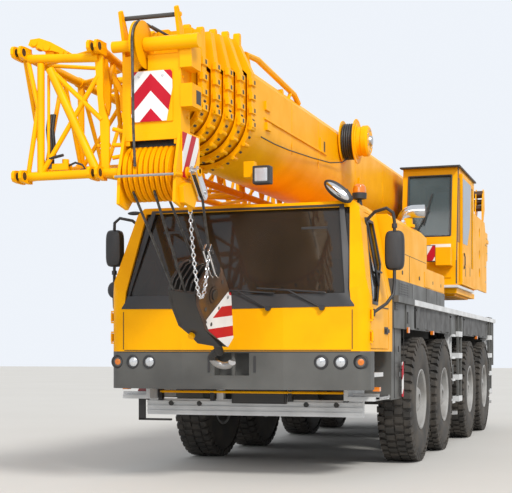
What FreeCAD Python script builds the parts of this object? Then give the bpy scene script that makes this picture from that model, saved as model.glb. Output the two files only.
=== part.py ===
"""Four-axle mobile crane with a telescopic boom, parked for the road.

Millimetres. X points to the crane's left, -Y is the direction of travel, Z is up.
The origin lies on the ground under the middle of the crane.
"""
import FreeCAD, Part
import math
import os
import Sketcher

os.makedirs("parts", exist_ok=True)
doc = FreeCAD.newDocument("mobile_crane")
sheet = doc.addObject("Spreadsheet::Sheet", "sizes")
Vector = FreeCAD.Vector


class Size:
    """A number with the sheet formula that gives it."""

    def __init__(self, value, formula):
        self.value = float(value)
        self.formula = formula

    def __add__(self, other):
        other = as_size(other)
        return Size(self.value + other.value, f"({self.formula} + {other.formula})")

    def __sub__(self, other):
        other = as_size(other)
        return Size(self.value - other.value, f"({self.formula} - {other.formula})")

    def __mul__(self, other):
        other = as_size(other)
        return Size(self.value * other.value, f"({self.formula} * {other.formula})")

    def __truediv__(self, other):
        other = as_size(other)
        return Size(self.value / other.value, f"({self.formula} / {other.formula})")

    def __neg__(self):
        return Size(-self.value, f"(-1 * {self.formula})")

    def __radd__(self, other):
        return as_size(other) + self

    def __rsub__(self, other):
        return as_size(other) - self

    def __rmul__(self, other):
        return as_size(other) * self


def as_size(number):
    """A bare number as a Size."""
    return number if isinstance(number, Size) else Size(number, repr(float(number)))


class Sizes:
    """The driving dimensions, each an attribute."""


S = Sizes()
row = 0


def sizes(table):
    """Write a table of named sizes to the sheet."""
    global row
    for alias, value in table.items():
        row += 1
        sheet.set(f"A{row}", alias)
        sheet.set(f"B{row}", str(value))
        sheet.setAlias(f"B{row}", alias)
        setattr(S, alias, Size(value, f"sizes.{alias}"))


# Wheels and axles
WHEELS = {
    "tyre_radius": 685, "tyre_width": 385, "tyre_side": 1340, "tyre_shoulder": 60, "rim_radius": 320,
    "rim_depth": 130, "hub_radius": 135, "hub_reach": 95, "running_fit": 0.05,
    "axle_one": -1400, "front_pair": 1650, "middle_gap": 2350, "rear_pair": 1650, "kingpin_side": 985,
    "kingpin_radius": 38, "beam_tall": 130, "beam_deep": 170, "axle_case": 210, "boss_radius": 48,
    "spindle_radius": 55, "knuckle_tall": 300, "knuckle_wide": 150,
}
sizes(WHEELS)
# Chassis frame, front bumper and deck
CHASSIS = {
    "frame_half": 420, "frame_low": 900, "frame_top": 1330, "frame_front": -2790, "frame_rear": 5700,
    "bay_depth": 260, "bay_side": 60, "ring_radius": 760, "ring_top": 1790, "ring_clear": 8,
    "deck_top": 1730, "deck_thick": 40, "deck_half": 1290, "deck_front": -2760, "deck_rear": 5760,
    "skirt_low": 1440, "skirt_thick": 30, "rail_wide": 45, "rail_tall": 60, "box_low": 720,
    "box_half": 1280, "box_inner": 760, "side_box_front": -2700, "side_box_rear": -2190,
    "bumper_low": 850, "bumper_top": 1205, "face": -3970, "bumper_deep": 330, "bumper_bow": 80,
    "bumper_corner": 120, "lamp_height": 1106, "lamp_radius": 66, "lamp_depth": 60, "lamp_one": 1204,
    "lamp_two": 1024, "lamp_three": 846, "rib_count": 3, "rib_pitch": 48, "recess_half": 170,
    "recess_low": 980, "recess_high": 1190, "recess_deep": 150, "coupling_z": 1100,
    "coupling_half": 100, "coupling_bore": 25, "tow_pin_radius": 22, "plate_low": 575, "plate_top": 735,
    "plate_front": -3350, "plate_half": 1110, "plate_thick": 60, "post_side": 350,
}
sizes(CHASSIS)
# Carrier cab
CAB = {
    "cab_half": 1280, "cab_rear": -2800, "cab_floor": 1205, "cab_roof": 2620, "cab_wall": 60,
    "roof_half": 1120, "roof_front": -3540, "waist": 1600, "brow": 2560, "pane_thick": 12,
    "shoulder": 1700, "roof_bevel": 60, "bow_flat": 500, "screen_low": 1620, "screen_low_half": 1120,
    "screen_high_half": 1030, "pane_inset": 24, "pane_foot": 310, "pane_rise": 400, "pillar": 70,
    "door_front": -3790, "door_rear": -2980, "door_low": 1225, "door_top": 2530, "door_gap": 6,
    "door_shut": 22, "door_sill": 1640, "seat_wide": 480, "seat_deep": 460, "seat_base": 1560,
    "seat_back": 560, "dash_deep": 330, "dash_top": 1560,
}
sizes(CAB)
# Hood, engine and exhaust
HOOD = {
    "hood_front": -2740, "hood_rear": 500, "hood_step": -810, "hood_top": 2580, "hood_low": 2160,
    "hood_half": 1285, "hood_wall": 40, "engine_half": 400, "engine_front": -2500, "engine_rear": -1250,
    "engine_low": 1330, "engine_top": 2300, "pipe_side": 1170, "pipe_y": -1450, "pipe_radius": 68,
    "pipe_top": 2670, "hood_bevel": 70, "slot_count": 6, "slot_pitch": 45, "slot_front": -900,
    "slot_rear": -450,
}
sizes(HOOD)
# Mirrors, ladders and steps
MIRRORS_AND_STEPS = {
    "mirror_side": 1430, "mirror_wide": 160, "mirror_tall": 340, "mirror_deep": 90, "mirror_y": -3450,
    "mirror_z": 2200, "arm_radius": 17, "ladder_wide": 250, "ladder_one": 1040, "ladder_two": 4950,
    "ladder_low": 540, "rung_tall": 30, "rung_pitch": 290, "step_low": 740,
    "step_front": -3600, "step_rear": -2900, "step_deep": 260, "arm_foot": 1150, "hinge_side": 1296,
    "hinge_y": -3800, "hinge_radius": 11, "hinge_pin": 6, "hinge_one": 1300, "hinge_two": 1500,
    "hinge_tall": 80,
}
sizes(MIRRORS_AND_STEPS)
# Outriggers
OUTRIGGERS = {
    "rig_front": 1555, "rig_rear": 5420, "rig_low": 760, "beam_high": 260, "beam_wide": 190,
    "rig_wall": 20, "rig_slack": 6, "rig_reach": 1040, "beam_end": 1235, "jack_radius": 75,
    "jack_side": 1150, "jack_top": 1400, "jack_low": 470, "ram_radius": 55, "pad_radius": 165,
    "pad_tall": 45, "pad_low": 380, "lane": 112,
}
sizes(OUTRIGGERS)
# Turntable, operator cab and counterweight
TURNTABLE = {
    "slew_y": 2400, "table_low": 1800, "table_thick": 120, "table_half": 560, "web_in": 455,
    "web_thick": 40, "web_top": 3560, "tail": 6150, "tail_low": 2720, "tail_rise": 540, "pivot_back": 1650,
    "pivot_z": 3250,
    "pivot_radius": 60, "opcab_in": 560, "opcab_out": 1300, "opcab_front": 1420, "opcab_rear": 3250,
    "opcab_low": 2100, "opcab_high": 3700, "opcab_wall": 40, "opcab_lean": 170, "opcab_belt": 2420,
    "opdoor_front": 1760, "opdoor_rear": 2640, "opdoor_thick": 35, "opdoor_gap": 6,
    "ballast_half": 1200, "ballast_long": 670, "ballast_top": 3200, "ballast_cut": 400,
    "bed_front": 1500, "bed_rear": 4000, "tank_out": 1150, "tank_front": 2500, "tank_rear": 4500,
    "tank_low": 2300, "tank_top": 2760, "drum_radius": 210, "drum_half": 330, "drum_back": 370,
    "drum_z": 3440, "side_plate": 1250, "side_front": 3300, "side_rear": 5200, "side_low": 2180,
    "side_top": 3300, "side_holes": 4290, "side_hole": 75,
}
sizes(TURNTABLE)
pivot_y = S.tail - S.pivot_back
drum_y = S.tail - S.drum_back
ballast_front = S.tail - S.ballast_long
# Boom
BOOM = {
    "section_rear": 600, "section_stagger": 60, "head_back": 10190, "reel_forward": 5856,
    "reel_up": 392, "reel_radius": 245, "boom_slope": 0.7, "boom_half": 420, "boom_up": 560,
    "boom_down": 331, "boom_front": 9160, "boom_tail": 450, "boom_wall": 10, "boom_step": 32,
    "boom_bevel": 110, "collar_pitch": 215, "collar_long": 95, "collar_side": 30, "collar_rise": 190,
    "collar_crown": 310, "collar_slant": 300, "pad_gap": 0.3, "lug_forward": 5530, "lug_down": 416,
    "lug_gap": 65, "eye_radius": 95, "eye_pin": 40, "barrel_radius": 130, "bore_radius": 105,
    "rod_radius": 80, "barrel_long": 3150, "cyl_foot_y": 2600, "cyl_foot_z": 2100,
}
sizes(BOOM)
# Boom head, hook block and jib
HEAD_AND_JIB = {
    "head_half": 245, "cheek_thick": 25, "head_face": 10384, "head_sheave": 215,
    "sheave_forward": 10297, "sheave_up": -536, "top_forward": 10415, "top_up": 452, "top_sheave": 184,
    "top_side": -70, "top_thick": 55, "guard_forward": 10393, "guard_up": 671, "panel_low": -143,
    "panel_high": 256, "panel_thick": 10, "shaft_tube": 55, "sheave_count": 9, "sheave_pitch": 44,
    "sheave_thick": 32, "sheave_rope": 22, "head_pin": 45, "guard_radius": 16, "block_lean": 47,
    "block_far": 1050, "block_long": 830, "block_half": 150, "block_deep": 230, "block_sheave": 185,
    "rope_radius": 10, "rope_sink": 7.2, "shank_radius": 38, "hook_drop": 247, "hook_radius": 95,
    "hook_thick": 34,
    "chord": 38, "lace": 22, "ear_long": 150, "ear_bore": 32,
}
sizes(HEAD_AND_JIB)


def bind(thing, prop, size):
    """Set a property from a size, by its formula where it has one."""
    size = as_size(size)
    if "sizes." in size.formula:
        thing.setExpression(prop, size.formula)
        return
    owner, _, letter = prop.rpartition(".")
    if owner == "Placement.Base":
        place = thing.Placement
        setattr(place.Base, letter, size.value)
        thing.Placement = place
    elif owner == "Base":
        base = thing.Base
        setattr(base, letter, size.value)
        thing.Base = base
    else:
        setattr(thing, prop, size.value)


def seat(thing, where):
    """Put a thing's own origin at a point given by sizes."""
    for letter, size in zip("xyz", where):
        bind(thing, f"Placement.Base.{letter}", size)


def box(name, across, along, up):
    """A block between two sizes along X, Y and Z."""
    block = doc.addObject("Part::Box", name)
    for prop, span in (("Length", across), ("Width", along), ("Height", up)):
        bind(block, prop, as_size(span[1]) - span[0])
    seat(block, (across[0], along[0], up[0]))
    return block


TURNS = {
    "x": FreeCAD.Rotation(Vector(0, 1, 0), 90),
    "y": FreeCAD.Rotation(Vector(1, 0, 0), -90),
    "z": FreeCAD.Rotation(),
}


def rod(name, axis, span, middle, radius):
    """A cylinder along an axis, between two sizes, round a middle in the other two."""
    bar = doc.addObject("Part::Cylinder", name)
    bind(bar, "Radius", radius)
    bind(bar, "Height", as_size(span[1]) - span[0])
    bar.Placement = FreeCAD.Placement(Vector(), TURNS[axis])
    where = {"x": (span[0], *middle), "y": (middle[0], span[0], middle[1]), "z": (*middle, span[0])}
    seat(bar, where[axis])
    return bar


# A sketch's own axes and its normal, for each plane
PLANES = {
    "YZ": (FreeCAD.Rotation(Vector(1, 1, 1), 120), "x", Vector(1, 0, 0)),
    "XZ": (FreeCAD.Rotation(Vector(1, 0, 0), 90), "y", Vector(0, 1, 0)),
    "XY": (FreeCAD.Rotation(), "z", Vector(0, 0, 1)),
}


def outline(name, plane, points):
    """A closed sketch, anticlockwise. A third number in a point is the radius of the arc that leaves it."""
    sketch = doc.addObject("Sketcher::SketchObject", name)
    sketch.Placement = FreeCAD.Placement(Vector(), PLANES[plane][0])
    points = [tuple(as_size(part) for part in point) for point in points]
    shapes = []
    for place, point in enumerate(points):
        after = points[(place + 1) % len(points)]
        start = Vector(point[0].value, point[1].value, 0)
        end = Vector(after[0].value, after[1].value, 0)
        if len(point) < 3:
            shapes.append(Part.LineSegment(start, end))
            continue
        radius = point[2].value
        chord = end - start
        rise = math.sqrt(max(radius ** 2 - (chord.Length / 2) ** 2, 0))
        centre = (start + end) * 0.5 + Vector(-chord.y, chord.x, 0) * (rise / chord.Length)
        first = math.atan2(start.y - centre.y, start.x - centre.x)
        last = math.atan2(end.y - centre.y, end.x - centre.x)
        circle = Part.Circle(centre, Vector(0, 0, 1), radius)
        shapes.append(Part.ArcOfCircle(circle, first, last))
    sketch.addGeometry(shapes, False)
    held = []
    for place, point in enumerate(points):
        held.append(Sketcher.Constraint("Coincident", place, 2, (place + 1) % len(points), 1))
    sketch.addConstraint(held)
    for place, point in enumerate(points):
        for kind, size in (("DistanceX", point[0]), ("DistanceY", point[1])):
            if size.value < 0:
                size = -size
                held = Sketcher.Constraint(kind, place, 1, -1, 1, size.value)
            else:
                held = Sketcher.Constraint(kind, -1, 1, place, 1, size.value)
            index = sketch.addConstraint(held)
            if "sizes." in size.formula:
                sketch.setExpression(f"Constraints[{index}]", size.formula)
        if len(point) > 2:
            index = sketch.addConstraint(Sketcher.Constraint("Radius", place, point[2].value))
            if "sizes." in point[2].formula:
                sketch.setExpression(f"Constraints[{index}]", point[2].formula)
    return sketch


def prism(name, plane, points, span):
    """An outline pushed out between two sizes along its plane's normal."""
    sketch = outline(name + "_outline", plane, points)
    letter, normal = PLANES[plane][1:]
    bind(sketch, f"Placement.Base.{letter}", span[0])
    block = doc.addObject("Part::Extrusion", name)
    block.Base = sketch
    block.DirMode = "Custom"
    block.Dir = normal
    block.Solid = True
    bind(block, "LengthFwd", as_size(span[1]) - span[0])
    return block


def turned(name, points, middle):
    """A ring or disc about a line along X: points are (radius, across)."""
    flat = [(across, radius) for radius, across in points]
    sketch = outline(name + "_outline", "XY", flat)
    seat(sketch, (0, middle[0], middle[1]))
    wheel = doc.addObject("Part::Revolution", name)
    wheel.Source = sketch
    wheel.Axis = Vector(1, 0, 0)
    wheel.Solid = True
    bind(wheel, "Base.y", middle[0])
    bind(wheel, "Base.z", middle[1])
    return wheel


def fuse(name, things):
    """One solid, or several, from things that meet."""
    if len(things) == 1:
        return things[0]
    whole = doc.addObject("Part::MultiFuse", name)
    whole.Shapes = things
    return whole


def cut(name, base, tools):
    """A base less its tools."""
    for place, tool in enumerate(tools):
        less = doc.addObject("Part::Cut", f"{name}_{place}")
        less.Base = base
        less.Tool = tool
        base = less
    return base


def other_side(thing):
    """The same thing on the crane's other side."""
    twin = doc.addObject("Part::Mirroring", thing.Name + "_twin")
    twin.Source = thing
    twin.Normal = Vector(1, 0, 0)
    return twin


def both(things):
    """Things of the left side with their twins."""
    return things + [other_side(thing) for thing in things]


def group(name, things):
    """Solids of one node that don't touch."""
    whole = doc.addObject("Part::Compound", name)
    whole.Links = things
    return whole


nodes = []


def node(label, thing):
    """Give a sub-part its name."""
    thing.Label = label
    nodes.append(thing)
    return thing


AXLES = {
    "one": S.axle_one,
    "two": S.axle_one + S.front_pair,
    "three": S.axle_one + S.front_pair + S.middle_gap,
    "four": S.axle_one + S.front_pair + S.middle_gap + S.rear_pair,
}
STEERED = ("one", "two")
SIDES = {"left": 1, "right": -1}
axle_z = S.tyre_radius


# Wheels: tyre, rim and hub of one axle end, with the bore that runs on the spindle
def make_wheel(label, axle, side):
    """One wheel on the left, or its twin."""
    outer = S.tyre_side
    inner = S.tyre_side - S.tyre_width
    bead = S.rim_radius + 45
    ring = turned(f"{label}_ring", [
        (S.spindle_radius + S.running_fit, outer - S.rim_depth),
        (S.spindle_radius + S.running_fit, inner + 120),
        (S.rim_radius - 30, inner + 120),
        (S.rim_radius - 30, inner + 25),
        (bead, inner + 12),
        (S.tyre_radius - 150, inner),
        (S.tyre_radius - S.tyre_shoulder, inner + 8),
        (S.tyre_radius, inner + S.tyre_shoulder),
        (S.tyre_radius, outer - S.tyre_shoulder),
        (S.tyre_radius - S.tyre_shoulder, outer - 8),
        (S.tyre_radius - 150, outer),
        (bead, outer - 12),
        (S.rim_radius - 14, outer - 20),
        (S.rim_radius - 45, outer - S.rim_depth),
        (S.hub_radius + 20, outer - S.rim_depth),
        (S.hub_radius, outer - S.rim_depth + S.hub_reach),
        (S.spindle_radius + S.running_fit, outer - S.rim_depth + S.hub_reach),
    ][::-1], (AXLES[axle], axle_z))
    return node(label, ring if side == "left" else other_side(ring))


for axle in AXLES:
    for side in SIDES:
        make_wheel(f"wheel_{axle}_{side}", axle, side)


# Knuckles: a block on the kingpin and the spindle that carries the wheel
def make_knuckle(label, axle, side):
    """One steering knuckle on the left, or its twin."""
    middle = AXLES[axle]
    inner = S.tyre_side - S.tyre_width
    fork = box(f"{label}_block", (S.kingpin_side - 60, inner + 114),
               (middle - S.knuckle_wide / 2, middle + S.knuckle_wide / 2),
               (axle_z - S.knuckle_tall / 2, axle_z + S.knuckle_tall / 2))
    spindle = rod(f"{label}_spindle", "x", (inner + 100, S.tyre_side - 60), (middle, axle_z),
                  S.spindle_radius)
    slot = box(f"{label}_slot", (S.kingpin_side - S.knuckle_wide, S.kingpin_side + S.boss_radius + 6),
               (middle - S.knuckle_wide, middle + S.knuckle_wide),
               (axle_z - S.beam_tall / 2 - 5, axle_z + S.beam_tall / 2 + 5))
    pin = rod(f"{label}_pin", "z", (axle_z - S.knuckle_tall / 2, axle_z + S.knuckle_tall / 2),
              (S.kingpin_side, middle), S.kingpin_radius)
    whole = fuse(f"{label}_whole", [cut(f"{label}_fork", fuse(f"{label}_raw", [fork, spindle]), [slot]), pin])
    return node(label, whole if side == "left" else other_side(whole))


for axle in STEERED:
    for side in SIDES:
        make_knuckle(f"knuckle_{axle}_{side}", axle, side)


# Axle beams: two that carry knuckles and two with fixed spindles
def make_axle(axle):
    """One axle beam with its final drive case."""
    middle = AXLES[axle]
    low = axle_z - S.beam_tall / 2
    high = axle_z + S.beam_tall / 2
    half = S.beam_deep / 2
    steered = axle in STEERED
    end = S.kingpin_side if steered else S.tyre_side - S.tyre_width + 90
    beam = box(f"axle_{axle}_beam", (-end, end), (middle - S.boss_radius + 8, middle + S.boss_radius - 8),
               (low, high))
    case = rod(f"axle_{axle}_case", "y", (middle - S.axle_case, middle + S.axle_case), (0, axle_z),
               S.axle_case)
    parts = [beam, case]
    for sign in (1, -1):
        hanger = (S.frame_half - 20) * sign
        spring = box(f"axle_{axle}_spring_{sign + 1}",
                     (hanger - 45, hanger + 45), (middle - half, middle + half), (high - 10, S.frame_low))
        parts.append(spring)
    if not steered:
        spindle = rod(f"axle_{axle}_spindle", "x", (end - 20, S.tyre_side - 60), (middle, axle_z),
                      S.spindle_radius)
        parts += both([spindle])
        return fuse(f"axle_{axle}", parts)
    parts += both([rod(f"axle_{axle}_boss", "z", (low, high), (S.kingpin_side, middle), S.boss_radius)])
    hole = rod(f"axle_{axle}_bore", "z", (low - 10, high + 10), (S.kingpin_side, middle),
               S.kingpin_radius + S.running_fit)
    return cut(f"axle_{axle}", fuse(f"axle_{axle}_raw", parts), both([hole]))


node("axles", group("axle_set", [make_axle(axle) for axle in AXLES]))


# Outrigger boxes across the frame, two lanes each
RIGS = {"front": S.rig_front, "rear": S.rig_rear}
LANES = {"left": -1, "right": 1}
rig_high = S.rig_low + S.beam_high + (S.rig_wall + S.rig_slack) * 2
lane_half = S.beam_wide / 2 + S.rig_slack
rig_half = S.lane + lane_half + S.rig_wall
rig_boxes = []
rig_notches = []
for rig, middle in RIGS.items():
    across = (-S.rig_reach, S.rig_reach)
    along = (middle - rig_half, middle + rig_half)
    lanes = []
    for side, sign in LANES.items():
        lane = middle + S.lane * sign
        lanes.append(box(f"rig_{rig}_{side}_lane", (-1 * S.rig_reach - 50, S.rig_reach + 50),
                         (lane - lane_half, lane + lane_half),
                         (S.rig_low + S.rig_wall, rig_high - S.rig_wall)))
    rig_boxes.append(cut(f"rig_{rig}_box", box(f"rig_{rig}", across, along, (S.rig_low, rig_high)), lanes))
    rig_notches.append(box(f"rig_{rig}_notch", across, along, (S.rig_low, rig_high)))
node("outrigger_boxes", group("rig_set", rig_boxes))

# Chassis: a closed frame with bays open below, notched for the outrigger boxes
frame = box("frame_box", (-S.frame_half, S.frame_half), (S.frame_front, S.frame_rear),
            (S.frame_low, S.frame_top))
bays = []
BAYS = (
    # start, end, each measured from an axle or an outrigger
    (S.frame_front + 120, AXLES["one"] - 300),
    (AXLES["one"] + 300, AXLES["two"] - 300),
    (AXLES["two"] + 300, S.rig_front - rig_half - 60),
    (AXLES["three"] + 300, AXLES["four"] - 300),
)
for place, (start, end) in enumerate(BAYS):
    bays.append(box(f"bay_{place}", (-1 * S.frame_half + S.bay_side, S.frame_half - S.bay_side),
                    (start, end), (S.frame_low - 20, S.frame_low + S.bay_depth)))
nose = box("frame_nose", (-380, 380), (S.face + S.bumper_deep + S.pad_gap, S.frame_front + 10),
           (S.frame_low, S.cab_floor))
coupling = box("rear_coupling", (-90, 90), (S.frame_rear - 10, S.frame_rear + 160),
               (S.coupling_z - S.coupling_half, S.coupling_z + S.coupling_half))
coupling_slot = box("rear_coupling_slot", (-100, 100), (S.frame_rear + 40, S.frame_rear + 170),
                    (S.coupling_z - 50, S.coupling_z + 50))
coupling_bore = rod("rear_coupling_bore", "z",
                    (S.coupling_z - S.coupling_half - 10, S.coupling_z + S.coupling_half + 10),
                    (0, S.frame_rear + 105), S.coupling_bore)
tail_coupling = cut("tail_coupling", coupling, [coupling_slot, coupling_bore])
chassis = fuse("chassis_raw", [frame, nose, tail_coupling])
node("chassis", cut("chassis_body", chassis, bays + rig_notches))

# Slewing ring's seat and the posts that carry the deck
upper = [rod("ring_seat", "z", (S.frame_top + S.pad_gap, S.ring_top), (0, S.slew_y), S.ring_radius)]
post_places = (S.deck_front + 150, S.hood_rear - 200, AXLES["three"] - 1100, S.deck_rear - 200)
for place, y in enumerate(post_places):
    upper += both([box(f"deck_post_{place}", (S.post_side - 60, S.post_side + 60), (y - 50, y + 50),
                       (S.frame_top + S.pad_gap, S.deck_top - S.deck_thick))])
node("ring_and_posts", group("upper_set", upper))


# Outrigger beams with their jack tubes, and the rams with their pads
def make_outrigger(rig, side):
    """One sliding beam and one ram: built on the left, or turned to the right."""
    sign = SIDES[side]
    lane = RIGS[rig] + S.lane * LANES[side]
    low = S.rig_low + S.rig_wall + S.pad_gap
    across = (-S.rig_reach, S.beam_end) if side == "left" else (-S.beam_end, S.rig_reach)
    beam = box(f"{rig}_{side}_beam", across, (lane - S.beam_wide / 2, lane + S.beam_wide / 2),
               (low, low + S.beam_high))
    spot = (S.jack_side * sign, lane)
    tube = rod(f"{rig}_{side}_tube", "z", (S.jack_low, S.jack_top), spot, S.jack_radius)
    window = box(f"{rig}_{side}_sleeve", (S.jack_side * sign - 100, S.jack_side * sign + 100),
                 (lane - S.beam_wide / 2, lane + S.beam_wide / 2), (low, low + S.beam_high))
    bore = rod(f"{rig}_{side}_bore", "z", (S.jack_low - 10, S.jack_top - 30), spot,
               S.ram_radius + S.running_fit)
    whole = cut(f"{rig}_{side}_arm", fuse(f"{rig}_{side}_raw", [beam, window, tube]), [bore])
    node(f"outrigger_beam_{rig}_{side}", whole)
    ram = rod(f"{rig}_{side}_ram", "z", (S.pad_low + 10, S.jack_top - 60), spot, S.ram_radius)
    pad = rod(f"{rig}_{side}_pad", "z", (S.pad_low, S.pad_low + S.pad_tall), spot, S.pad_radius)
    node(f"outrigger_jack_{rig}_{side}", fuse(f"{rig}_{side}_foot", [ram, pad]))


for rig in RIGS:
    for side in SIDES:
        make_outrigger(rig, side)

# Cab and bumper share one plan: a bowed face with rounded corners
def plan(inset):
    """The cab's outline seen from above, moved in by an inset."""
    half = S.cab_half - inset
    front = S.face + inset
    shoulder = front + S.bumper_bow
    return [
        (-half, shoulder + S.bumper_corner, S.bumper_corner), (-half + S.bumper_corner, shoulder),
        (-1 * S.bow_flat, front), (S.bow_flat, front), (half - S.bumper_corner, shoulder, S.bumper_corner),
        (half, shoulder + S.bumper_corner),
    ]


def cab_form(name, inset):
    """The cab's solid form, moved in by an inset on every side."""
    half = S.cab_half - inset
    front = S.face + inset
    roof = S.cab_roof - inset
    rear = S.cab_rear - inset
    seen_above = plan(inset) + [(half, rear), (-half, rear)]
    above = prism(f"{name}_above", "XY", seen_above, (S.cab_floor + inset, roof))
    ahead = prism(f"{name}_ahead", "XZ", [
        (-half, S.cab_floor), (half, S.cab_floor), (half, S.shoulder), (S.roof_half - inset,
            roof - S.roof_bevel),
        (S.roof_half - inset - S.roof_bevel, roof), (-1 * S.roof_half + inset + S.roof_bevel, roof),
        (-1 * S.roof_half + inset, roof - S.roof_bevel), (-half, S.shoulder)], (front - 10, rear + 10))
    beside = prism(f"{name}_beside", "YZ", [
        (front, S.cab_floor), (rear, S.cab_floor), (rear, roof), (S.roof_front + inset, roof),
        (front, S.waist)], (-half - 10, half + 10))
    form = doc.addObject("Part::MultiCommon", name)
    form.Shapes = [above, ahead, beside]
    return form


door_lean = (S.roof_front - S.face) * (S.door_top - S.waist) / (S.cab_roof - S.waist)


def door_space(name, gap):
    """The door's place in the side wall, moved in by a gap that is wider at the rear."""
    shut = S.door_rear - S.door_shut if gap else S.door_rear
    deep = S.cab_wall if gap else S.cab_wall + S.door_gap
    wall = prism(f"{name}_wall", "XZ", [
        (S.cab_half - deep, S.cab_floor), (S.cab_half + 50, S.cab_floor), (S.cab_half + 50, S.cab_roof),
        (S.roof_half - deep, S.cab_roof), (S.roof_half - deep, S.cab_roof - S.roof_bevel),
        (S.cab_half - deep, S.shoulder)], (S.door_front - 10, S.door_rear + 10))
    edge = prism(f"{name}_edge", "YZ", [
        (S.door_front + gap, S.door_low + gap), (shut, S.door_low + gap),
        (shut, S.door_top - gap), (S.door_front + door_lean + gap, S.door_top - gap),
        (S.door_front + gap, S.waist)], (S.cab_half / 2, S.cab_half + 50))
    space = doc.addObject("Part::MultiCommon", name)
    space.Shapes = [wall, edge]
    return space


def door_pane(name):
    """The door's window."""
    return prism(name, "YZ", [
        (S.door_front + S.pillar, S.door_sill), (S.door_front + S.pane_foot, S.door_sill),
        (S.door_rear - S.pillar, S.door_sill + S.pane_rise), (S.door_rear - S.pillar, S.door_top - S.pillar),
        (S.door_front + door_lean + S.pillar - 10, S.door_top - S.pillar),
        (S.door_front + S.pillar, S.waist + 120)], (S.cab_half / 2, S.cab_half + 50))


screen_points = [
    (-1 * S.screen_low_half, S.screen_low), (S.screen_low_half, S.screen_low),
    (S.screen_high_half, S.brow), (-1 * S.screen_high_half, S.brow)]
screen = prism("screen_hole", "XZ", screen_points, (S.face - 50, S.roof_front + 150))
outer = cab_form("cab_outer", as_size(0))
inner = cab_form("cab_inner", S.cab_wall)
skin = cut("cab_skin", outer, [inner])
doorways = both([door_space("doorway", 0)])
hinge_span = [(low, low + S.hinge_tall) for low in (S.hinge_one, S.hinge_two)]
hinge_pins = []
for place, (low, high) in enumerate(hinge_span):
    hinge_pins.append(rod(f"hinge_pin_{place}", "z", (low - 20, high + 20), (S.hinge_side, S.hinge_y),
                          S.hinge_pin))
    for end, foot in enumerate((low - 20, high + 6)):
        hinge_pins.append(box(f"hinge_lug_{place}_{end}", (S.cab_half - 15, S.hinge_side + S.hinge_pin),
                              (S.hinge_y - 8, S.hinge_y + 6), (foot, foot + 14)))
walls = cut("cab_walls", skin, doorways + [screen])
node("cab_shell", fuse("cab_with_hinges", [walls] + both(hinge_pins)))
pane_outer = cab_form("pane_outer", S.pane_inset)
pane_inner = cab_form("pane_inner", S.pane_inset + S.pane_thick)
pane_skin = cut("pane_skin", pane_outer, [pane_inner])
screen_pane = doc.addObject("Part::MultiCommon", "screen_pane")
screen_pane.Shapes = [pane_skin, prism("screen_fill", "XZ", screen_points, (S.face - 50, S.roof_front + 150))]
node("windscreen", screen_pane)
door_leaf = doc.addObject("Part::MultiCommon", "door_leaf")
door_leaf.Shapes = [skin, door_space("door_outline", S.door_gap)]
door_panel = cut("door_panel", door_leaf, [door_pane("door_hole")])
door_glass = doc.addObject("Part::MultiCommon", "door_glass")
door_glass.Shapes = [pane_skin, door_pane("door_fill")]
hinges = []
hinge_bores = []
for place, (low, high) in enumerate(hinge_span):
    hinge_bores.append(rod(f"hinge_bore_{place}", "z", (low - 1, high + 1), (S.hinge_side, S.hinge_y),
                           S.hinge_pin + S.running_fit))
    hinges.append(rod(f"hinge_{place}", "z", (low, high), (S.hinge_side, S.hinge_y), S.hinge_radius))
    hinges.append(box(f"hinge_leaf_{place}", (S.hinge_side - S.hinge_radius, S.hinge_side - 5),
                      (S.hinge_y, S.hinge_y + 60), (low, high)))
    hinges.append(box(f"hinge_foot_{place}", (S.cab_half - 10, S.hinge_side - 5),
                      (S.hinge_y + 35, S.hinge_y + 60), (low, high)))
glazed_door = cut("glazed_door", fuse("door_whole", [door_panel, door_glass] + hinges), hinge_bores)
node("door_left", glazed_door)
node("door_right", other_side(glazed_door))

# Cab interior: floor mat, dash, two seats, steering column and wheel
cab_base = S.cab_floor + S.cab_wall
inside = [box("dash", (-1080, 1080), (S.face + S.cab_wall + S.bumper_bow + 5,
                                      S.face + S.cab_wall + S.dash_deep),
              (cab_base, S.dash_top))]
for place, x in enumerate((-700, 0, 700)):
    left = x - S.seat_wide / 2
    right = x + S.seat_wide / 2
    front = S.cab_rear - S.cab_wall - 140 - S.seat_deep
    back = S.cab_rear - S.cab_wall - 5
    if x:
        base = box(f"seat_{place}", (left, right), (front, back), (cab_base, S.seat_base))
        rest = box(f"rest_{place}", (left, right), (back - 130, back),
                   (S.seat_base - 10, S.seat_base + S.seat_back))
        inside.append(fuse(f"seat_whole_{place}", [base, rest]))
column = rod("column", "z", (S.dash_top, S.dash_top + 130), (700, S.face + 300), 35)
wheel_rim = rod("hand_wheel", "z", (S.dash_top + 120, S.dash_top + 150), (700, S.face + 300), 215)
wheel_hole = rod("hand_wheel_hole", "z", (S.dash_top + 131, S.dash_top + 160), (700, S.face + 300), 185)
inside.append(fuse("steering_column", [column, cut("hand_wheel_ring", wheel_rim, [wheel_hole])]))
node("cab_interior", group("cab_inside", inside))

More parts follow.
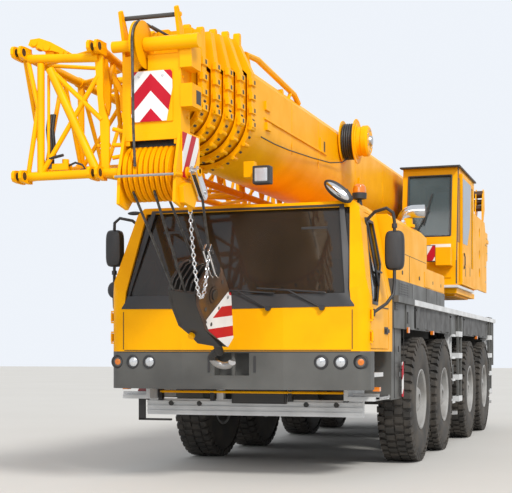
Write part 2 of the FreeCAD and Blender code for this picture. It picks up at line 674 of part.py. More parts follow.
# Front bumper with lamp pockets and the towing jaw, and the ribbed plate under the cab
bumper_solid = prism("bumper_solid", "XY", plan(as_size(0)) + [
    (S.cab_half, S.face + S.bumper_deep), (-1 * S.cab_half, S.face + S.bumper_deep)], (S.bumper_low,
        S.bumper_top))
bumper_back = box("bumper_back", (-1 * S.cab_half + 70, S.cab_half - 70),
                  (S.face + S.bumper_bow + 90, S.face + S.bumper_deep + 20), (S.bumper_low - 20,
                      S.bumper_top - 30))
recess = box("recess", (-1 * S.recess_half, S.recess_half), (S.face - 20, S.face + S.recess_deep),
             (S.recess_low, S.recess_high))
pockets = []
lamps = []
LAMPS = ((S.lamp_one, 0), (S.lamp_two, 0), (S.lamp_three, 0))
for place, (x, lean) in enumerate(LAMPS):
    back = S.face + S.bumper_bow + S.lamp_depth
    pockets += both([rod(f"lamp_pocket_{place}", "y", (S.face - 50, back), (x, S.lamp_height),
                         S.lamp_radius)])
    lamps += both([rod(f"lamp_{place}", "y", (back - S.lamp_depth + 25, back), (x, S.lamp_height),
                       S.lamp_radius)])
jaw_pin = rod("jaw_pin", "z", (S.recess_low - 5, S.recess_high + 5), (0, S.face + 55), S.tow_pin_radius)
brackets = both([box("bumper_bracket", (300, 380), (S.face + S.bumper_bow + 80, S.face + S.bumper_deep),
                     (S.frame_low, S.frame_low + 200))])
apron = box("apron_plate", (-1 * S.plate_half, S.plate_half), (S.plate_front, S.plate_front + S.plate_thick),
            (S.plate_low, S.plate_top))
hangers = both([box("apron_hanger", (300, 370), (S.plate_front, S.plate_front + S.plate_thick),
                    (S.plate_top - 5, S.frame_low))])
ribs = []
for place in range(int(S.rib_count.value)):
    low = S.plate_low + 25 + S.rib_pitch * place
    ribs.append(box(f"apron_rib_{place}", (-1 * S.plate_half, S.plate_half),
                    (S.plate_front - 14, S.plate_front + 5), (low, low + 18)))
bumper_shell = cut("bumper_shell", bumper_solid, [bumper_back, recess] + pockets)
bumper = fuse("bumper_whole", [bumper_shell, jaw_pin] + brackets + lamps)
node("front_bumper", group("bumper_set", [bumper, fuse("apron", [apron] + hangers + ribs)]))

# Deck: plate, skirts, boxes and the tail plate; openings for the ring and the engine
deck_under = S.deck_top - S.deck_thick
plate = box("deck_plate", (-1 * S.deck_half, S.deck_half), (S.deck_front, S.deck_rear),
            (deck_under, S.deck_top))
ring_hole = rod("ring_hole", "z", (deck_under - 10, S.deck_top + 10), (0, S.slew_y),
                S.ring_radius + S.ring_clear)
engine_hole = box("engine_hole", (-1 * S.engine_half - 20, S.engine_half + 20),
                  (S.engine_front - 20, S.engine_rear + 20), (deck_under - 10, S.deck_top + 10))
skirt = box("skirt", (S.deck_half - S.skirt_thick, S.deck_half), (S.deck_front, S.deck_rear),
            (S.skirt_low, deck_under + 5))
side_box = box("side_box", (S.box_inner, S.box_half - 30), (S.side_box_front, S.side_box_rear),
               (S.box_low, deck_under + 5))
tail_plate = box("tail_plate", (-1 * S.deck_half, S.deck_half), (S.deck_rear - 60, S.deck_rear),
                 (S.frame_low + 100, deck_under + 5))
rail = box("rail", (S.deck_half - 5, S.deck_half + S.rail_wide), (S.deck_front, S.deck_rear),
           (S.deck_top - S.rail_tall / 2, S.deck_top + S.rail_tall / 2))
deck_body = fuse("deck_raw", [plate, tail_plate] + both([skirt, side_box, rail]))
tail_gap = box("tail_gap", (-1 * S.frame_half - 1, S.frame_half + 1), (S.deck_rear - 70, S.deck_rear + 10),
               (S.frame_low + 50, S.frame_top + 2))
node("deck", cut("deck_body", deck_body, [ring_hole, engine_hole, tail_gap]))

# Hood over the engine, open below
def hood_form(name, inset, low):
    """The hood's form, moved in by an inset."""
    half = S.hood_half - inset
    side = prism(f"{name}_side", "YZ", [
        (S.hood_front + inset, low), (S.hood_rear - inset, low), (S.hood_rear - inset, S.hood_low - inset),
        (S.hood_step - inset, S.hood_low - inset), (S.hood_step - inset, S.hood_top - inset),
        (S.hood_front + inset, S.hood_top - inset)], (-half, half))
    end = prism(f"{name}_end", "XZ", [
        (-half, low), (half, low), (half, S.hood_top - S.hood_bevel - inset), (half - S.hood_bevel,
            S.hood_top - inset),
        (-half + S.hood_bevel, S.hood_top - inset), (-half, S.hood_top - S.hood_bevel - inset)],
        (S.hood_front - 10, S.hood_rear + 10))
    form = doc.addObject("Part::MultiCommon", name)
    form.Shapes = [side, end]
    return form


slots = []
for place in range(int(S.slot_count.value)):
    low = S.deck_top + 120 + S.slot_pitch * place
    slots.append(box(f"hood_slot_{place}", (S.hood_half - S.hood_wall - 20, S.hood_half + 20),
                     (S.slot_front, S.slot_rear), (low, low + 22)))
hood_hollow = hood_form("hood_inner", S.hood_wall, S.deck_top - 20)
hood = cut("hood_shell", hood_form("hood_outer", as_size(0), S.deck_top), [hood_hollow] + both(slots))
node("engine", box("engine_block", (-1 * S.engine_half, S.engine_half), (S.engine_front, S.engine_rear),
                   (S.engine_low, S.engine_top)))
stack = rod("stack", "z", (S.hood_top - 5, S.pipe_top), (S.pipe_side, S.pipe_y), S.pipe_radius)
stack_foot = rod("stack_foot", "z", (S.hood_top - 5, S.hood_top + 25), (S.pipe_side, S.pipe_y),
                 S.pipe_radius + 25)
stack_bore = rod("stack_bore", "z", (S.hood_top + 20, S.pipe_top + 10), (S.pipe_side, S.pipe_y),
                 S.pipe_radius - 6)
node("hood", fuse("hood_whole", [hood, cut("exhaust_pipe", fuse("exhaust_raw", [stack, stack_foot]),
                                           [stack_bore])]))


def strut(name, start, end, radius):
    """A round bar between two points, each given by three sizes."""
    first = Vector(*[as_size(part).value for part in start])
    last = Vector(*[as_size(part).value for part in end])
    bar = doc.addObject("Part::Feature", name)
    bar.Shape = Part.makeCylinder(as_size(radius).value, (last - first).Length, first, last - first)
    return bar


# Mirrors on arms at the doors' front edge
mirror_parts = [box("mirror_case", (S.mirror_side - S.mirror_wide / 2, S.mirror_side + S.mirror_wide / 2),
                    (S.mirror_y - S.mirror_deep / 2, S.mirror_y + S.mirror_deep / 2),
                    (S.mirror_z - S.mirror_tall / 2, S.mirror_z + S.mirror_tall / 2))]
screen_slope = (S.roof_front - S.face) / (S.cab_roof - S.waist)
for place, z in enumerate((S.mirror_z + S.mirror_tall / 2 - 40, S.mirror_z - S.mirror_tall / 2 + 40)):
    foot_y = S.door_front + screen_slope * (z - S.waist) + S.pillar / 2
    mirror_parts.append(strut(f"mirror_arm_{place}", (S.arm_foot, foot_y - (S.mirror_y - foot_y) * 0.28, z),
                              (S.mirror_side, S.mirror_y, z), S.arm_radius))
mirror = cut("mirror_clear", fuse("mirror_raw", mirror_parts), [cab_form("cab_for_mirror", as_size(0))])
node("mirror_left", mirror)
node("mirror_right", other_side(mirror))

# Ladders under the deck's edge and the steps below the doors
step_parts = []
for place, y in enumerate((S.ladder_one, S.ladder_two)):
    stiles = []
    for end in (y, y + S.ladder_wide - 30):
        stiles.append(box(f"stile_{place}_{len(stiles)}",
                          (S.deck_half - S.skirt_thick - 50, S.deck_half - S.skirt_thick),
                          (end, end + 30), (S.ladder_low, deck_under)))
    for level in range(4):
        low = S.ladder_low + S.rung_pitch * level
        stiles.append(box(f"rung_{place}_{level}", (S.deck_half - S.skirt_thick - 60, S.deck_half + 20),
                          (y, y + S.ladder_wide), (low, low + S.rung_tall)))
    step_parts.append(fuse(f"ladder_{place}", stiles))
step_back = box("step_back", (S.cab_half - S.step_deep - 40, S.cab_half - S.step_deep),
                (S.step_front, S.step_rear),
                (S.step_low, S.cab_floor))
trays = [box(f"tray_{level}", (S.cab_half - S.step_deep - 20, S.cab_half - 10 - 60 * level),
             (S.step_front, S.step_rear), (S.step_low + 220 * level, S.step_low + 220 * level + 40))
         for level in range(2)]
step_parts.append(fuse("door_step", [step_back] + trays))
node("steps", group("step_set", both(step_parts)))

# Turntable: bearing ring, bed, two webs that rise to the tail
table_ring = rod("table_ring", "z", (S.ring_top + S.pad_gap, S.table_low + 10), (0, S.slew_y), S.ring_radius)
bed = box("bed", (-1 * S.table_half, S.table_half), (S.bed_front, S.bed_rear),
          (S.table_low, S.table_low + S.table_thick))
web_out = S.web_in + S.web_thick
web = prism("web", "YZ", [
    (S.bed_front, S.table_low), (S.bed_rear, S.table_low), (S.bed_rear + 300, S.table_low + S.tail_rise),
    (S.tail, S.tail_low), (S.tail, S.ballast_top), (drum_y + 220, S.web_top), (drum_y - 240, S.web_top),
    (drum_y - 360, S.ballast_top - 60), (pivot_y + 700, S.ballast_top - 60), (pivot_y + 450, S.web_top),
    (pivot_y - 350, S.web_top), (pivot_y - 1000, S.table_low + 900), (S.bed_front + 500,
        S.table_low + 520),
    (S.bed_front, S.table_low + 300)], (S.web_in, web_out))
floor = prism("tail_floor", "YZ", [
    (S.bed_rear - 5, S.table_low), (S.bed_rear + 300, S.table_low + S.tail_rise), (S.tail, S.tail_low),
    (S.tail, S.tail_low + 45), (S.bed_rear + 290, S.table_low + S.tail_rise + 45),
    (S.bed_rear - 5, S.table_low + 45)],
    (-1 * S.web_in - 5, S.web_in + 5))
boom_pin = rod("boom_pin", "x", (-web_out, web_out), (pivot_y, S.pivot_z), S.pivot_radius)
foot_pin = rod("foot_pin", "x", (-1 * S.web_in - 10, S.web_in + 10), (S.cyl_foot_y, S.cyl_foot_z), S.eye_pin)
foot_cheeks = both([box("foot_cheek", (S.lug_gap, S.lug_gap + 40), (S.cyl_foot_y - 90, S.cyl_foot_y + 90),
                        (S.table_low + S.table_thick - 5, S.cyl_foot_z + 70))])
cab_arm = box("cab_arm", (web_out - 5, S.opcab_out - 60), (S.opcab_front + 280, S.opcab_rear - 250),
              (S.opcab_low - 130, S.opcab_low))
table = fuse("turntable_body", [table_ring, bed, floor, boom_pin, foot_pin,
                                cab_arm] + foot_cheeks + both([web]))
node("turntable", table)

# Counterweight slabs beside the webs, their rear corners cut to the tail's swing
slab = prism("slab", "XY", [
    (web_out, ballast_front), (S.ballast_half, ballast_front), (S.ballast_half, S.tail - S.ballast_cut),
    (S.ballast_half - S.ballast_cut, S.tail), (web_out, S.tail)], (S.tail_low + 20, S.ballast_top))
node("counterweight", group("slab_pair", both([slab])))

# Winch between the webs
shaft = rod("winch_shaft", "x", (-1 * S.web_in, S.web_in), (drum_y, S.drum_z), 55)
drum = rod("winch_drum", "x", (-1 * S.drum_half, S.drum_half), (drum_y, S.drum_z), S.drum_radius)
cheeks = both([rod("winch_cheek", "x", (S.drum_half, S.drum_half + 30), (drum_y, S.drum_z),
                   S.drum_radius + 75)])
node("winch", fuse("winch_body", [shaft, drum] + cheeks))

# Side frame behind the operator cab and the oil tank on the right
side_plate = prism("side_plate", "YZ", [
    (S.side_front, S.side_low), (S.side_rear, S.side_low), (S.side_rear, S.side_top - 350),
    (S.side_rear - 250, S.side_top), (S.side_front, S.side_top)], (S.side_plate - 30, S.side_plate))
holes = [rod(f"side_hole_{place}", "x", (S.side_plate - 40, S.side_plate + 10),
             (S.side_holes, S.side_low + up), S.side_hole) for place, up in enumerate((270, 550, 890))]
stays = [box(f"side_stay_{place}", (web_out, S.side_plate - 25), (S.side_front + y, S.side_front + y + 80),
             (S.side_low + z, S.side_low + z + 80)) for place, (y,
                 z) in enumerate(((50, 180), (1650, 400), (1300, 950)))]
node("side_frame", fuse("side_frame_body", [cut("side_frame_plate", side_plate, holes)] + stays))
node("oil_tank", box("tank", (-1 * S.tank_out, -web_out), (S.tank_front, S.tank_rear),
                     (S.tank_low, S.tank_top)))


# Operator cab: hollow, glazed in front, at the side, behind and above
def opcab_form(name, inset):
    """The operator cab's form, moved in by an inset."""
    return prism(name, "YZ", [
        (S.opcab_front + inset, S.opcab_low + inset), (S.opcab_rear - inset, S.opcab_low + inset),
        (S.opcab_rear - inset, S.opcab_high - inset), (S.opcab_front + S.opcab_lean + inset,
                                                       S.opcab_high - inset),
        (S.opcab_front + inset, S.opcab_belt)], (S.opcab_in + inset, S.opcab_out - inset))


def opcab_openings(name):
    """The glazed openings: front, inner side, rear."""
    low = S.opcab_low + 130
    high = S.opcab_high - 110
    return [
        box(f"{name}_front", (S.opcab_in + 80, S.opcab_out - 80), (S.opcab_front - 20, S.opcab_front + 300),
            (low, high)),
        prism(f"{name}_inner", "YZ", [
            (S.opcab_front + 420, S.opcab_belt), (S.opcab_rear - 500, S.opcab_belt), (S.opcab_rear - 500,
                high),
            (S.opcab_front + 420, high)], (S.opcab_in - 20, S.opcab_in + 120)),
        box(f"{name}_rear", (S.opcab_in + 150, S.opcab_out - 150), (S.opcab_rear - 100, S.opcab_rear + 20),
            (S.opcab_belt + 400, high)),
        prism(f"{name}_quarter", "YZ", [
            (S.opdoor_rear + 90, S.opcab_belt), (S.opcab_rear - 120, S.opcab_belt), (S.opcab_rear - 120,
                high),
            (S.opdoor_rear + 90, high)], (S.opcab_out - 120, S.opcab_out + 20)),
    ]


opcab_skin = cut("opcab_skin", opcab_form("opcab_outer", as_size(0)),
                 [opcab_form("opcab_inner", S.opcab_wall)])
opdoor_low = S.opcab_low + 60
opdoor_high = S.opcab_high - 70
doorway = box("opcab_doorway", (S.opcab_out - 120, S.opcab_out + 20),
              (S.opdoor_front + 40, S.opdoor_rear - 40), (opdoor_low + 20, opdoor_high - 40))
opdoor_rail = box("opdoor_rail", (S.opcab_out - 5, S.opcab_out + S.opdoor_gap + S.opdoor_thick),
                  (S.opdoor_front - 30, S.opcab_rear), (opdoor_low - S.pad_gap - 35, opdoor_low - S.pad_gap))
node("opcab_shell", fuse("opcab_body", [cut("opcab_walls", opcab_skin,
                                            opcab_openings("opcab_hole") + [doorway]),
                                        opdoor_rail]))
opcab_pane_skin = cut("opcab_pane_skin", opcab_form("opcab_pane_outer", S.pane_inset / 2),
                      [opcab_form("opcab_pane_inner", S.pane_inset / 2 + S.pane_thick)])
opcab_panes = []
for place, hole in enumerate(opcab_openings("opcab_fill")):
    pane = doc.addObject("Part::MultiCommon", f"opcab_pane_{place}")
    pane.Shapes = [opcab_pane_skin, hole]
    opcab_panes.append(pane)
node("opcab_glass", group("opcab_panes", opcab_panes))
opdoor = box("opdoor", (S.opcab_out + S.opdoor_gap, S.opcab_out + S.opdoor_gap + S.opdoor_thick),
             (S.opdoor_front, S.opdoor_rear), (opdoor_low, opdoor_high))
opdoor_hole = box("opdoor_hole", (S.opcab_out, S.opcab_out + 60), (S.opdoor_front + 70, S.opdoor_rear - 70),
                  (S.opcab_belt, opdoor_high - 70))
opdoor_pane = box("opdoor_pane", (S.opcab_out + S.opdoor_gap + 12, S.opcab_out + S.opdoor_gap + 22),
                  (S.opdoor_front + 60, S.opdoor_rear - 60), (S.opcab_belt - 10, opdoor_high - 60))
node("opcab_door", fuse("opdoor_whole", [cut("opdoor_panel", opdoor, [opdoor_hole]), opdoor_pane]))
seat_x = (S.opcab_in + S.opcab_out) / 2
opcab_base = S.opcab_low + S.opcab_wall
opseat = box("opseat", (seat_x - 240, seat_x + 240), (S.opcab_front + 900, S.opcab_front + 1380),
             (opcab_base, opcab_base + 480))
oprest = box("oprest", (seat_x - 230, seat_x + 230), (S.opcab_front + 1270, S.opcab_front + 1400),
             (opcab_base + 470, opcab_base + 1100))
console = box("console", (seat_x - 200, seat_x + 60), (S.opcab_front + 180, S.opcab_front + 330),
              (opcab_base, opcab_base + 620))
node("opcab_interior", group("opcab_inside", [fuse("opseat_whole", [opseat, oprest]), console]))


# Boom: built level with its foot pin at the origin, then set on the pin and tilted nose down
def set_on_pin(thing):
    """Carry a piece of the level boom to the foot pin."""
    thing.Placement = FreeCAD.Placement(Vector(), FreeCAD.Rotation(Vector(1, 0, 0), S.boom_slope.value))
    bind(thing, "Placement.Rotation.Angle", S.boom_slope)
    seat(thing, (0, pivot_y, S.pivot_z))
    return thing


def tube_outline(name, number, grow, span):
    """A boom section's outline: bevelled top and round belly."""
    half = S.boom_half - S.boom_step * number + grow
    top = S.boom_up - S.boom_step * number + grow
    bottom = -1 * S.boom_down + S.boom_step * number - grow
    spring = bottom + half
    return prism(name, "XZ", [
        (half, spring), (half, top - S.boom_bevel), (half - S.boom_bevel, top), (-half + S.boom_bevel, top),
        (-half, top - S.boom_bevel), (-half, spring, half), (0, bottom, half)], span)


def collar_outline(name, number, span):
    """A collar round a section's front end, with a high crown."""
    half = S.boom_half - S.boom_step * number + S.collar_side
    top = S.boom_up - S.boom_step * number + S.collar_rise
    bottom = -1 * S.boom_down + S.boom_step * number - S.collar_side
    spring = bottom + half
    return prism(name, "XZ", [
        (half, spring), (half, top - S.collar_slant), (S.collar_crown, top), (-1 * S.collar_crown, top),
        (-half, top - S.collar_slant), (-half, spring, half), (0, bottom, half)], span)


SECTIONS = 6
for number in range(SECTIONS):
    name = "boom_base" if number == 0 else f"boom_section_{number}"
    last = number == SECTIONS - 1
    collar_back = -1 * S.boom_front - S.collar_pitch * number
    front = collar_back - S.collar_long if not last else -1 * S.head_back
    rear = S.boom_tail if number == 0 else -1 * S.section_rear - S.section_stagger * (number - 1)
    parts = [tube_outline(f"{name}_tube", number, 0, (front, rear))]
    bore_end = rear + 10 if number else -1 * S.section_rear + 200
    bore = tube_outline(f"{name}_bore", number, -1 * S.boom_wall,
                        (front - 10 if not last else front + 30, bore_end))
    if not last:
        parts.append(collar_outline(f"{name}_collar", number, (front, collar_back)))
    if number:
        gap = S.boom_step - S.boom_wall
        top = S.boom_up - S.boom_step * number
        half = S.boom_half - S.boom_step * number
        parts.append(box(f"{name}_pad", (-half + S.boom_bevel + 20, half - S.boom_bevel - 20),
                         (rear - 200, rear),
                         (top - 5, top + gap - S.pad_gap)))
    tools = [bore]
    if number == 0:
        parts.append(rod("boom_boss", "x", (-1 * S.web_in + S.pad_gap, S.web_in - S.pad_gap), (0, 0), 120))
        tools.append(rod("boom_bore", "x", (-1 * S.web_in - 10, S.web_in + 10), (0, 0),
                         S.pivot_radius + S.running_fit))
        parts += both([box("boom_lug", (S.lug_gap, S.lug_gap + 35),
                           (-1 * S.lug_forward - 90, -1 * S.lug_forward + 90),
                           (-1 * S.lug_down - 80, -1 * S.boom_down + 30))])
        tools.append(rod("boom_lug_bore", "x", (-1 * S.lug_gap - 50, S.lug_gap + 50),
                         (-1 * S.lug_forward, -1 * S.lug_down), S.eye_pin))
    node(name, set_on_pin(cut(f"{name}_body", fuse(f"{name}_raw", parts), tools)))

# Luffing cylinder: barrel on the turntable's foot pin, rod with its eye at the boom's lug
slope = math.radians(S.boom_slope.value)
lug_y = pivot_y.value - S.lug_forward.value * math.cos(slope) + S.lug_down.value * math.sin(slope)
lug_z = S.pivot_z.value - S.lug_forward.value * math.sin(slope) - S.lug_down.value * math.cos(slope)
run = S.cyl_foot_y.value - lug_y
rise = lug_z - S.cyl_foot_z.value
reach = math.hypot(run, rise)
lean = math.degrees(math.atan2(rise, run))


def set_on_foot(thing):
    """Carry a piece of the level cylinder to its foot pin."""
    thing.Placement = FreeCAD.Placement(Vector(), FreeCAD.Rotation(Vector(1, 0, 0), -lean))
    seat(thing, (0, S.cyl_foot_y, S.cyl_foot_z))
    return thing


barrel = rod("barrel_tube", "y", (-1 * S.barrel_long, -170), (0, 0), S.barrel_radius)
barrel_eye = rod("barrel_eye", "x", (-1 * S.lug_gap + 5, S.lug_gap - 5), (0, 0), S.eye_radius)
barrel_neck = box("barrel_neck", (-60, 60), (-180, 0), (-60, 60))
barrel_bore = rod("barrel_bore", "y", (-1 * S.barrel_long - 10, -300), (0, 0), S.bore_radius)
barrel_hole = rod("barrel_hole", "x", (-100, 100), (0, 0), S.eye_pin + S.running_fit)
node("luff_barrel", set_on_foot(cut("barrel_body", fuse("barrel_raw", [barrel, barrel_eye, barrel_neck]),
                                    [barrel_bore, barrel_hole])))
rod_body = rod("luff_rod_bar", "y", (-reach + 130, -420), (0, 0), S.rod_radius)
rod_neck = box("luff_rod_neck", (-1 * S.lug_gap + 5, S.lug_gap - 5), (-reach, -reach + 140), (-55, 55))
piston = rod("luff_piston", "y", (-520, -320), (0, 0), S.bore_radius - S.running_fit)
rod_eye = rod("luff_rod_eye", "x", (-1 * S.lug_gap + 5, S.lug_gap - 5), (-reach, 0), S.eye_radius - 15)
node("luff_rod", set_on_foot(fuse("rod_whole", [rod_body, rod_neck, piston, rod_eye])))

# Boom head on the innermost section
HEAD_CHEEK = (
    # forward, up
    (S.head_face, -223), (S.head_face + 103, -522), (S.head_face + 126, -782), (S.head_face - 43, -814),
    (S.head_back + 19, -705), (S.head_back + 17, -525), (S.head_back, -171), (S.head_back, 400),
    (S.head_back + 81, 496), (S.head_face + 23, S.guard_up + 36), (S.head_face + 78, S.guard_up + 37),
    (S.head_face + 11, 497), (S.head_face, 377),
)
SIDE_PLATE = (
    # forward, up
    (S.head_face, -214), (S.head_face, -579), (S.head_face - 234, -579), (S.head_face - 380, -430),
    (S.head_face - 380, -214),
)
cheek = prism("head_cheek", "YZ", [(-1 * forward, up) for forward, up in HEAD_CHEEK],
              (S.head_half - S.cheek_thick, S.head_half))
side_plate = prism("head_side_plate", "YZ", [(-1 * forward, up) for forward, up in SIDE_PLATE],
                   (S.head_half - 2, S.head_half + 10))
head_floor = box("head_floor", (-1 * S.head_half, S.head_half), (-1 * S.head_back - 40, -1 * S.head_back),
                 (-171, 400))
wall = box("head_plate", (-1 * S.head_half, S.head_half), (-1 * S.head_face, -1 * S.head_face + 12),
           (-233, 377))
wall_slot = box("head_plate_slot", (S.top_side - 40, S.top_side + 40),
                (-1 * S.head_face - 5, -1 * S.head_face + 17),
                (S.top_up - S.top_sheave - 10, 380))
panel = box("head_panel", (-167, 180), (-1 * S.head_face - S.panel_thick, -1 * S.head_face),
            (S.panel_low, S.panel_high))
low_middle = (-1 * S.sheave_forward, S.sheave_up)
top_middle = (-1 * S.top_forward, S.top_up)
tube_start = S.top_side + S.top_thick / 2 + 6
shafts = [
    rod("low_shaft", "x", (-1 * S.head_half - 30, S.head_half + 30), low_middle, S.head_pin),
    rod("low_knob", "x", (S.head_half + 25, S.head_half + 105), low_middle, 27),
    rod("low_knob_disc", "x", (S.head_half + 100, S.head_half + 125), low_middle, 35),
    rod("high_shaft", "x", (-1 * S.head_half - 65, S.head_half + 165), top_middle, S.head_pin),
    rod("high_tube", "x", (tube_start, S.head_half + 165), top_middle, S.shaft_tube),
    rod("head_guard", "x", (-1 * S.head_half - 10, S.head_half + 10),
        (-1 * S.guard_forward, S.guard_up), S.guard_radius),
]
head_parts = [head_floor, cut("head_front", wall, [wall_slot]), panel, side_plate] + shafts + both([cheek])
node("boom_head", set_on_pin(fuse("head_body", head_parts)))


def sheave(name, x, middle, radius, thick):
    """A grooved disc on a shaft along X."""
    half = as_size(thick) / 2
    bore = S.head_pin + S.running_fit
    return turned(name, [
        (bore, x - half), (bore, x + half), (radius, x + half), (radius - S.sheave_rope, x + 4),
        (radius - S.sheave_rope, x - 4), (radius, x - half)][::-1], middle)


discs = []
for place in range(int(S.sheave_count.value)):
    x = S.sheave_pitch * (place - (S.sheave_count - 1) / 2)
    discs.append(sheave(f"sheave_{place}", x, low_middle, S.head_sheave, S.sheave_thick))
discs.append(sheave("sheave_top", S.top_side, top_middle, S.top_sheave, S.top_thick))
node("head_sheaves", set_on_pin(group("head_discs", discs)))

# Hook block, pulled back from the head to the towing pin
sheave_y = pivot_y.value - S.sheave_forward.value * math.cos(slope) - S.sheave_up.value * math.sin(slope)
sheave_z = S.pivot_z.value - S.sheave_forward.value * math.sin(slope) + S.sheave_up.value * math.cos(slope)


def set_on_head(thing):
    """Carry a piece of the hanging block to the head's lower shaft."""
    thing.Placement = FreeCAD.Placement(Vector(), FreeCAD.Rotation(Vector(1, 0, 0), S.block_lean.value))
    thing.Placement.Base = Vector(0, sheave_y, sheave_z)
    bind(thing, "Placement.Rotation.Angle", S.block_lean)
    return thing


block_cheek = prism("block_cheek", "YZ", [
    (-90, -1 * S.block_far - S.block_long), (90, -1 * S.block_far - S.block_long),
    (S.block_deep, -1 * S.block_far - 420), (S.block_deep, -1 * S.block_far - 150, 150),
    (S.block_deep - 150, -1 * S.block_far), (-1 * S.block_deep + 150, -1 * S.block_far, 150),
    (-1 * S.block_deep, -1 * S.block_far - 150), (-1 * S.block_deep, -1 * S.block_far - 420)],
    (S.block_half - 30, S.block_half))
block_pin = rod("block_pin", "x", (-1 * S.block_half - 20, S.block_half + 20), (0, -1 * S.block_far - 240),
                S.head_pin)
cross = box("block_cross", (-1 * S.block_half + 10, S.block_half - 10), (-80, 80),
            (-1 * S.block_far - S.block_long + 20, -1 * S.block_far - S.block_long + 200))
cross_bore = rod("block_cross_bore", "z", (-1 * S.block_far - S.block_long,
                                           -1 * S.block_far - S.block_long + 210),
                 (0, 0), S.shank_radius + S.running_fit)
block_frame = cut("block_frame", fuse("block_raw", [block_pin, cross] + both([block_cheek])), [cross_bore])
block_middle = (0, -1 * S.block_far - 240)
block_discs = [sheave(f"block_sheave_{place}", S.sheave_pitch * 2 * (place - 1), block_middle, S.block_sheave,
                      46)
               for place in range(3)]
falls = []
FALLS = (
    # sheave pitches across, side of the sheaves
    (-2, -1), (2, -1), (-2, 1), (2, 1))
away = S.head_sheave - S.rope_sink
below = S.block_sheave - S.sheave_rope
for place, (pitches, side) in enumerate(FALLS):
    x = S.sheave_pitch * pitches
    falls.append(strut(f"fall_{place}", (x, away * side, 0), (x, below * side, block_middle[1]),
                       S.rope_radius))
block_body = fuse("block_body", [block_frame] + block_discs + falls)
node("hook_block", set_on_head(block_body))
hook_top = -1 * S.block_far - S.block_long
hook_middle = hook_top - S.hook_drop
shank = rod("hook_shank", "z", (hook_middle + S.hook_radius - 20, hook_top + 215), (0, 0), S.shank_radius)
shank_nut = rod("hook_nut", "z", (hook_top + 205, hook_top + 245), (0, 0), S.shank_radius + 22)
bend = doc.addObject("Part::Torus", "hook_bend")
bind(bend, "Radius1", S.hook_radius)
bind(bend, "Radius2", S.hook_thick)
bend.Angle3 = 240
bend.Placement = FreeCAD.Placement(Vector(), FreeCAD.Rotation(Vector(1, 0, 0), 90).multiply(
    FreeCAD.Rotation(Vector(0, 0, 1), 90)))
seat(bend, (0, 0, hook_middle))
node("hook", set_on_head(fuse("hook_whole", [shank, shank_nut, bend])))

# Folding jib, stowed along the boom's right side
STATIONS = (
    # forward, outer, inner, low, high
    (10387, 1100, 440, -527, 457),
    (9350, 1110, 575, -320, 445),
    (7900, 1110, 575, -240, 430),
    (6450, 1110, 575, -235, 430),
    (5000, 1110, 575, -230, 430),
    (3550, 1100, 590, -200, 410),
    (2100, 1060, 640, -120, 350),
    (1250, 1000, 700, -40, 270),
)
bars = []


def jib_corners(forward, outer_x, inner_x, low, high):
    """The four chord points at a station."""
    return [Vector(-outer_x, -forward, low), Vector(-outer_x, -forward, high),
            Vector(-inner_x, -forward, high), Vector(-inner_x, -forward, low)]


def bar(start, end, radius):
    """A round bar between two points."""
    return Part.makeCylinder(radius, (end - start).Length, start, end - start)


for place, station in enumerate(STATIONS):
    here = jib_corners(*station)
    for corner in range(4):
        bars.append(bar(here[corner], here[(corner + 1) % 4], S.lace.value))
    if place + 1 == len(STATIONS):
        continue
    after = jib_corners(*STATIONS[place + 1])
    for corner in range(4):
        bars.append(bar(here[corner], after[corner], S.chord.value))
        ahead = (corner + 1) % 4
        ends = (here[corner], after[ahead]) if place % 2 else (here[ahead], after[corner])
        bars.append(bar(*ends, S.lace.value))
for point in jib_corners(*STATIONS[0]):
    for ear in (-45, 20):
        lug = Part.makeBox(25, S.ear_long.value + 40, 124,
                           Vector(point.x + ear, point.y - S.ear_long.value, point.z - 62))
        bore = Part.makeCylinder(S.ear_bore.value, 35,
                                 Vector(point.x + ear - 5, point.y - S.ear_long.value + 60, point.z),
                                 Vector(1, 0, 0))
        bars.append(lug.cut(bore))
for forward, outer_x, inner_x, low, high in (STATIONS[2], STATIONS[6]):
    bars.append(Part.makeBox(inner_x - S.boom_half.value, 120, 160, Vector(-inner_x, -forward - 60, 100)))
jib = doc.addObject("Part::Feature", "jib_body")
jib.Shape = bars[0].multiFuse(bars[1:])
node("jib", set_on_pin(jib))

# Hose reel on the boom's left side
reel_middle = (-1 * S.reel_forward, S.reel_up)
reel = fuse("reel_body", [
    rod("reel_shaft", "x", (S.boom_half, S.boom_half + 330), reel_middle, 45),
    rod("reel_core", "x", (S.boom_half + 40, S.boom_half + 300), reel_middle, 150),
    rod("reel_near", "x", (S.boom_half + 30, S.boom_half + 42), reel_middle, S.reel_radius),
    rod("reel_far", "x", (S.boom_half + 298, S.boom_half + 310), reel_middle, S.reel_radius)])
node("hose_reel", set_on_pin(reel))

doc.recompute()
failed = [thing.Name for thing in doc.Objects if "Invalid" in thing.State or "Error" in thing.State]
for thing in nodes:
    if thing.Shape.isNull() or not thing.Shape.isValid() or not thing.Shape.Solids:
        failed.append(thing.Label)
if failed:
    raise SystemExit("failed: " + ", ".join(failed))
for thing in nodes:
    thing.Shape.exportStep(f"parts/{thing.Label}.step")
print(len(nodes), "nodes")
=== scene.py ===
"""Looks of the parked mobile crane, in metres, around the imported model.

X points to the crane's left, -Y is the direction of travel, Z is up.
"""
import math
import bmesh
import bpy
from mathutils import Matrix, Vector


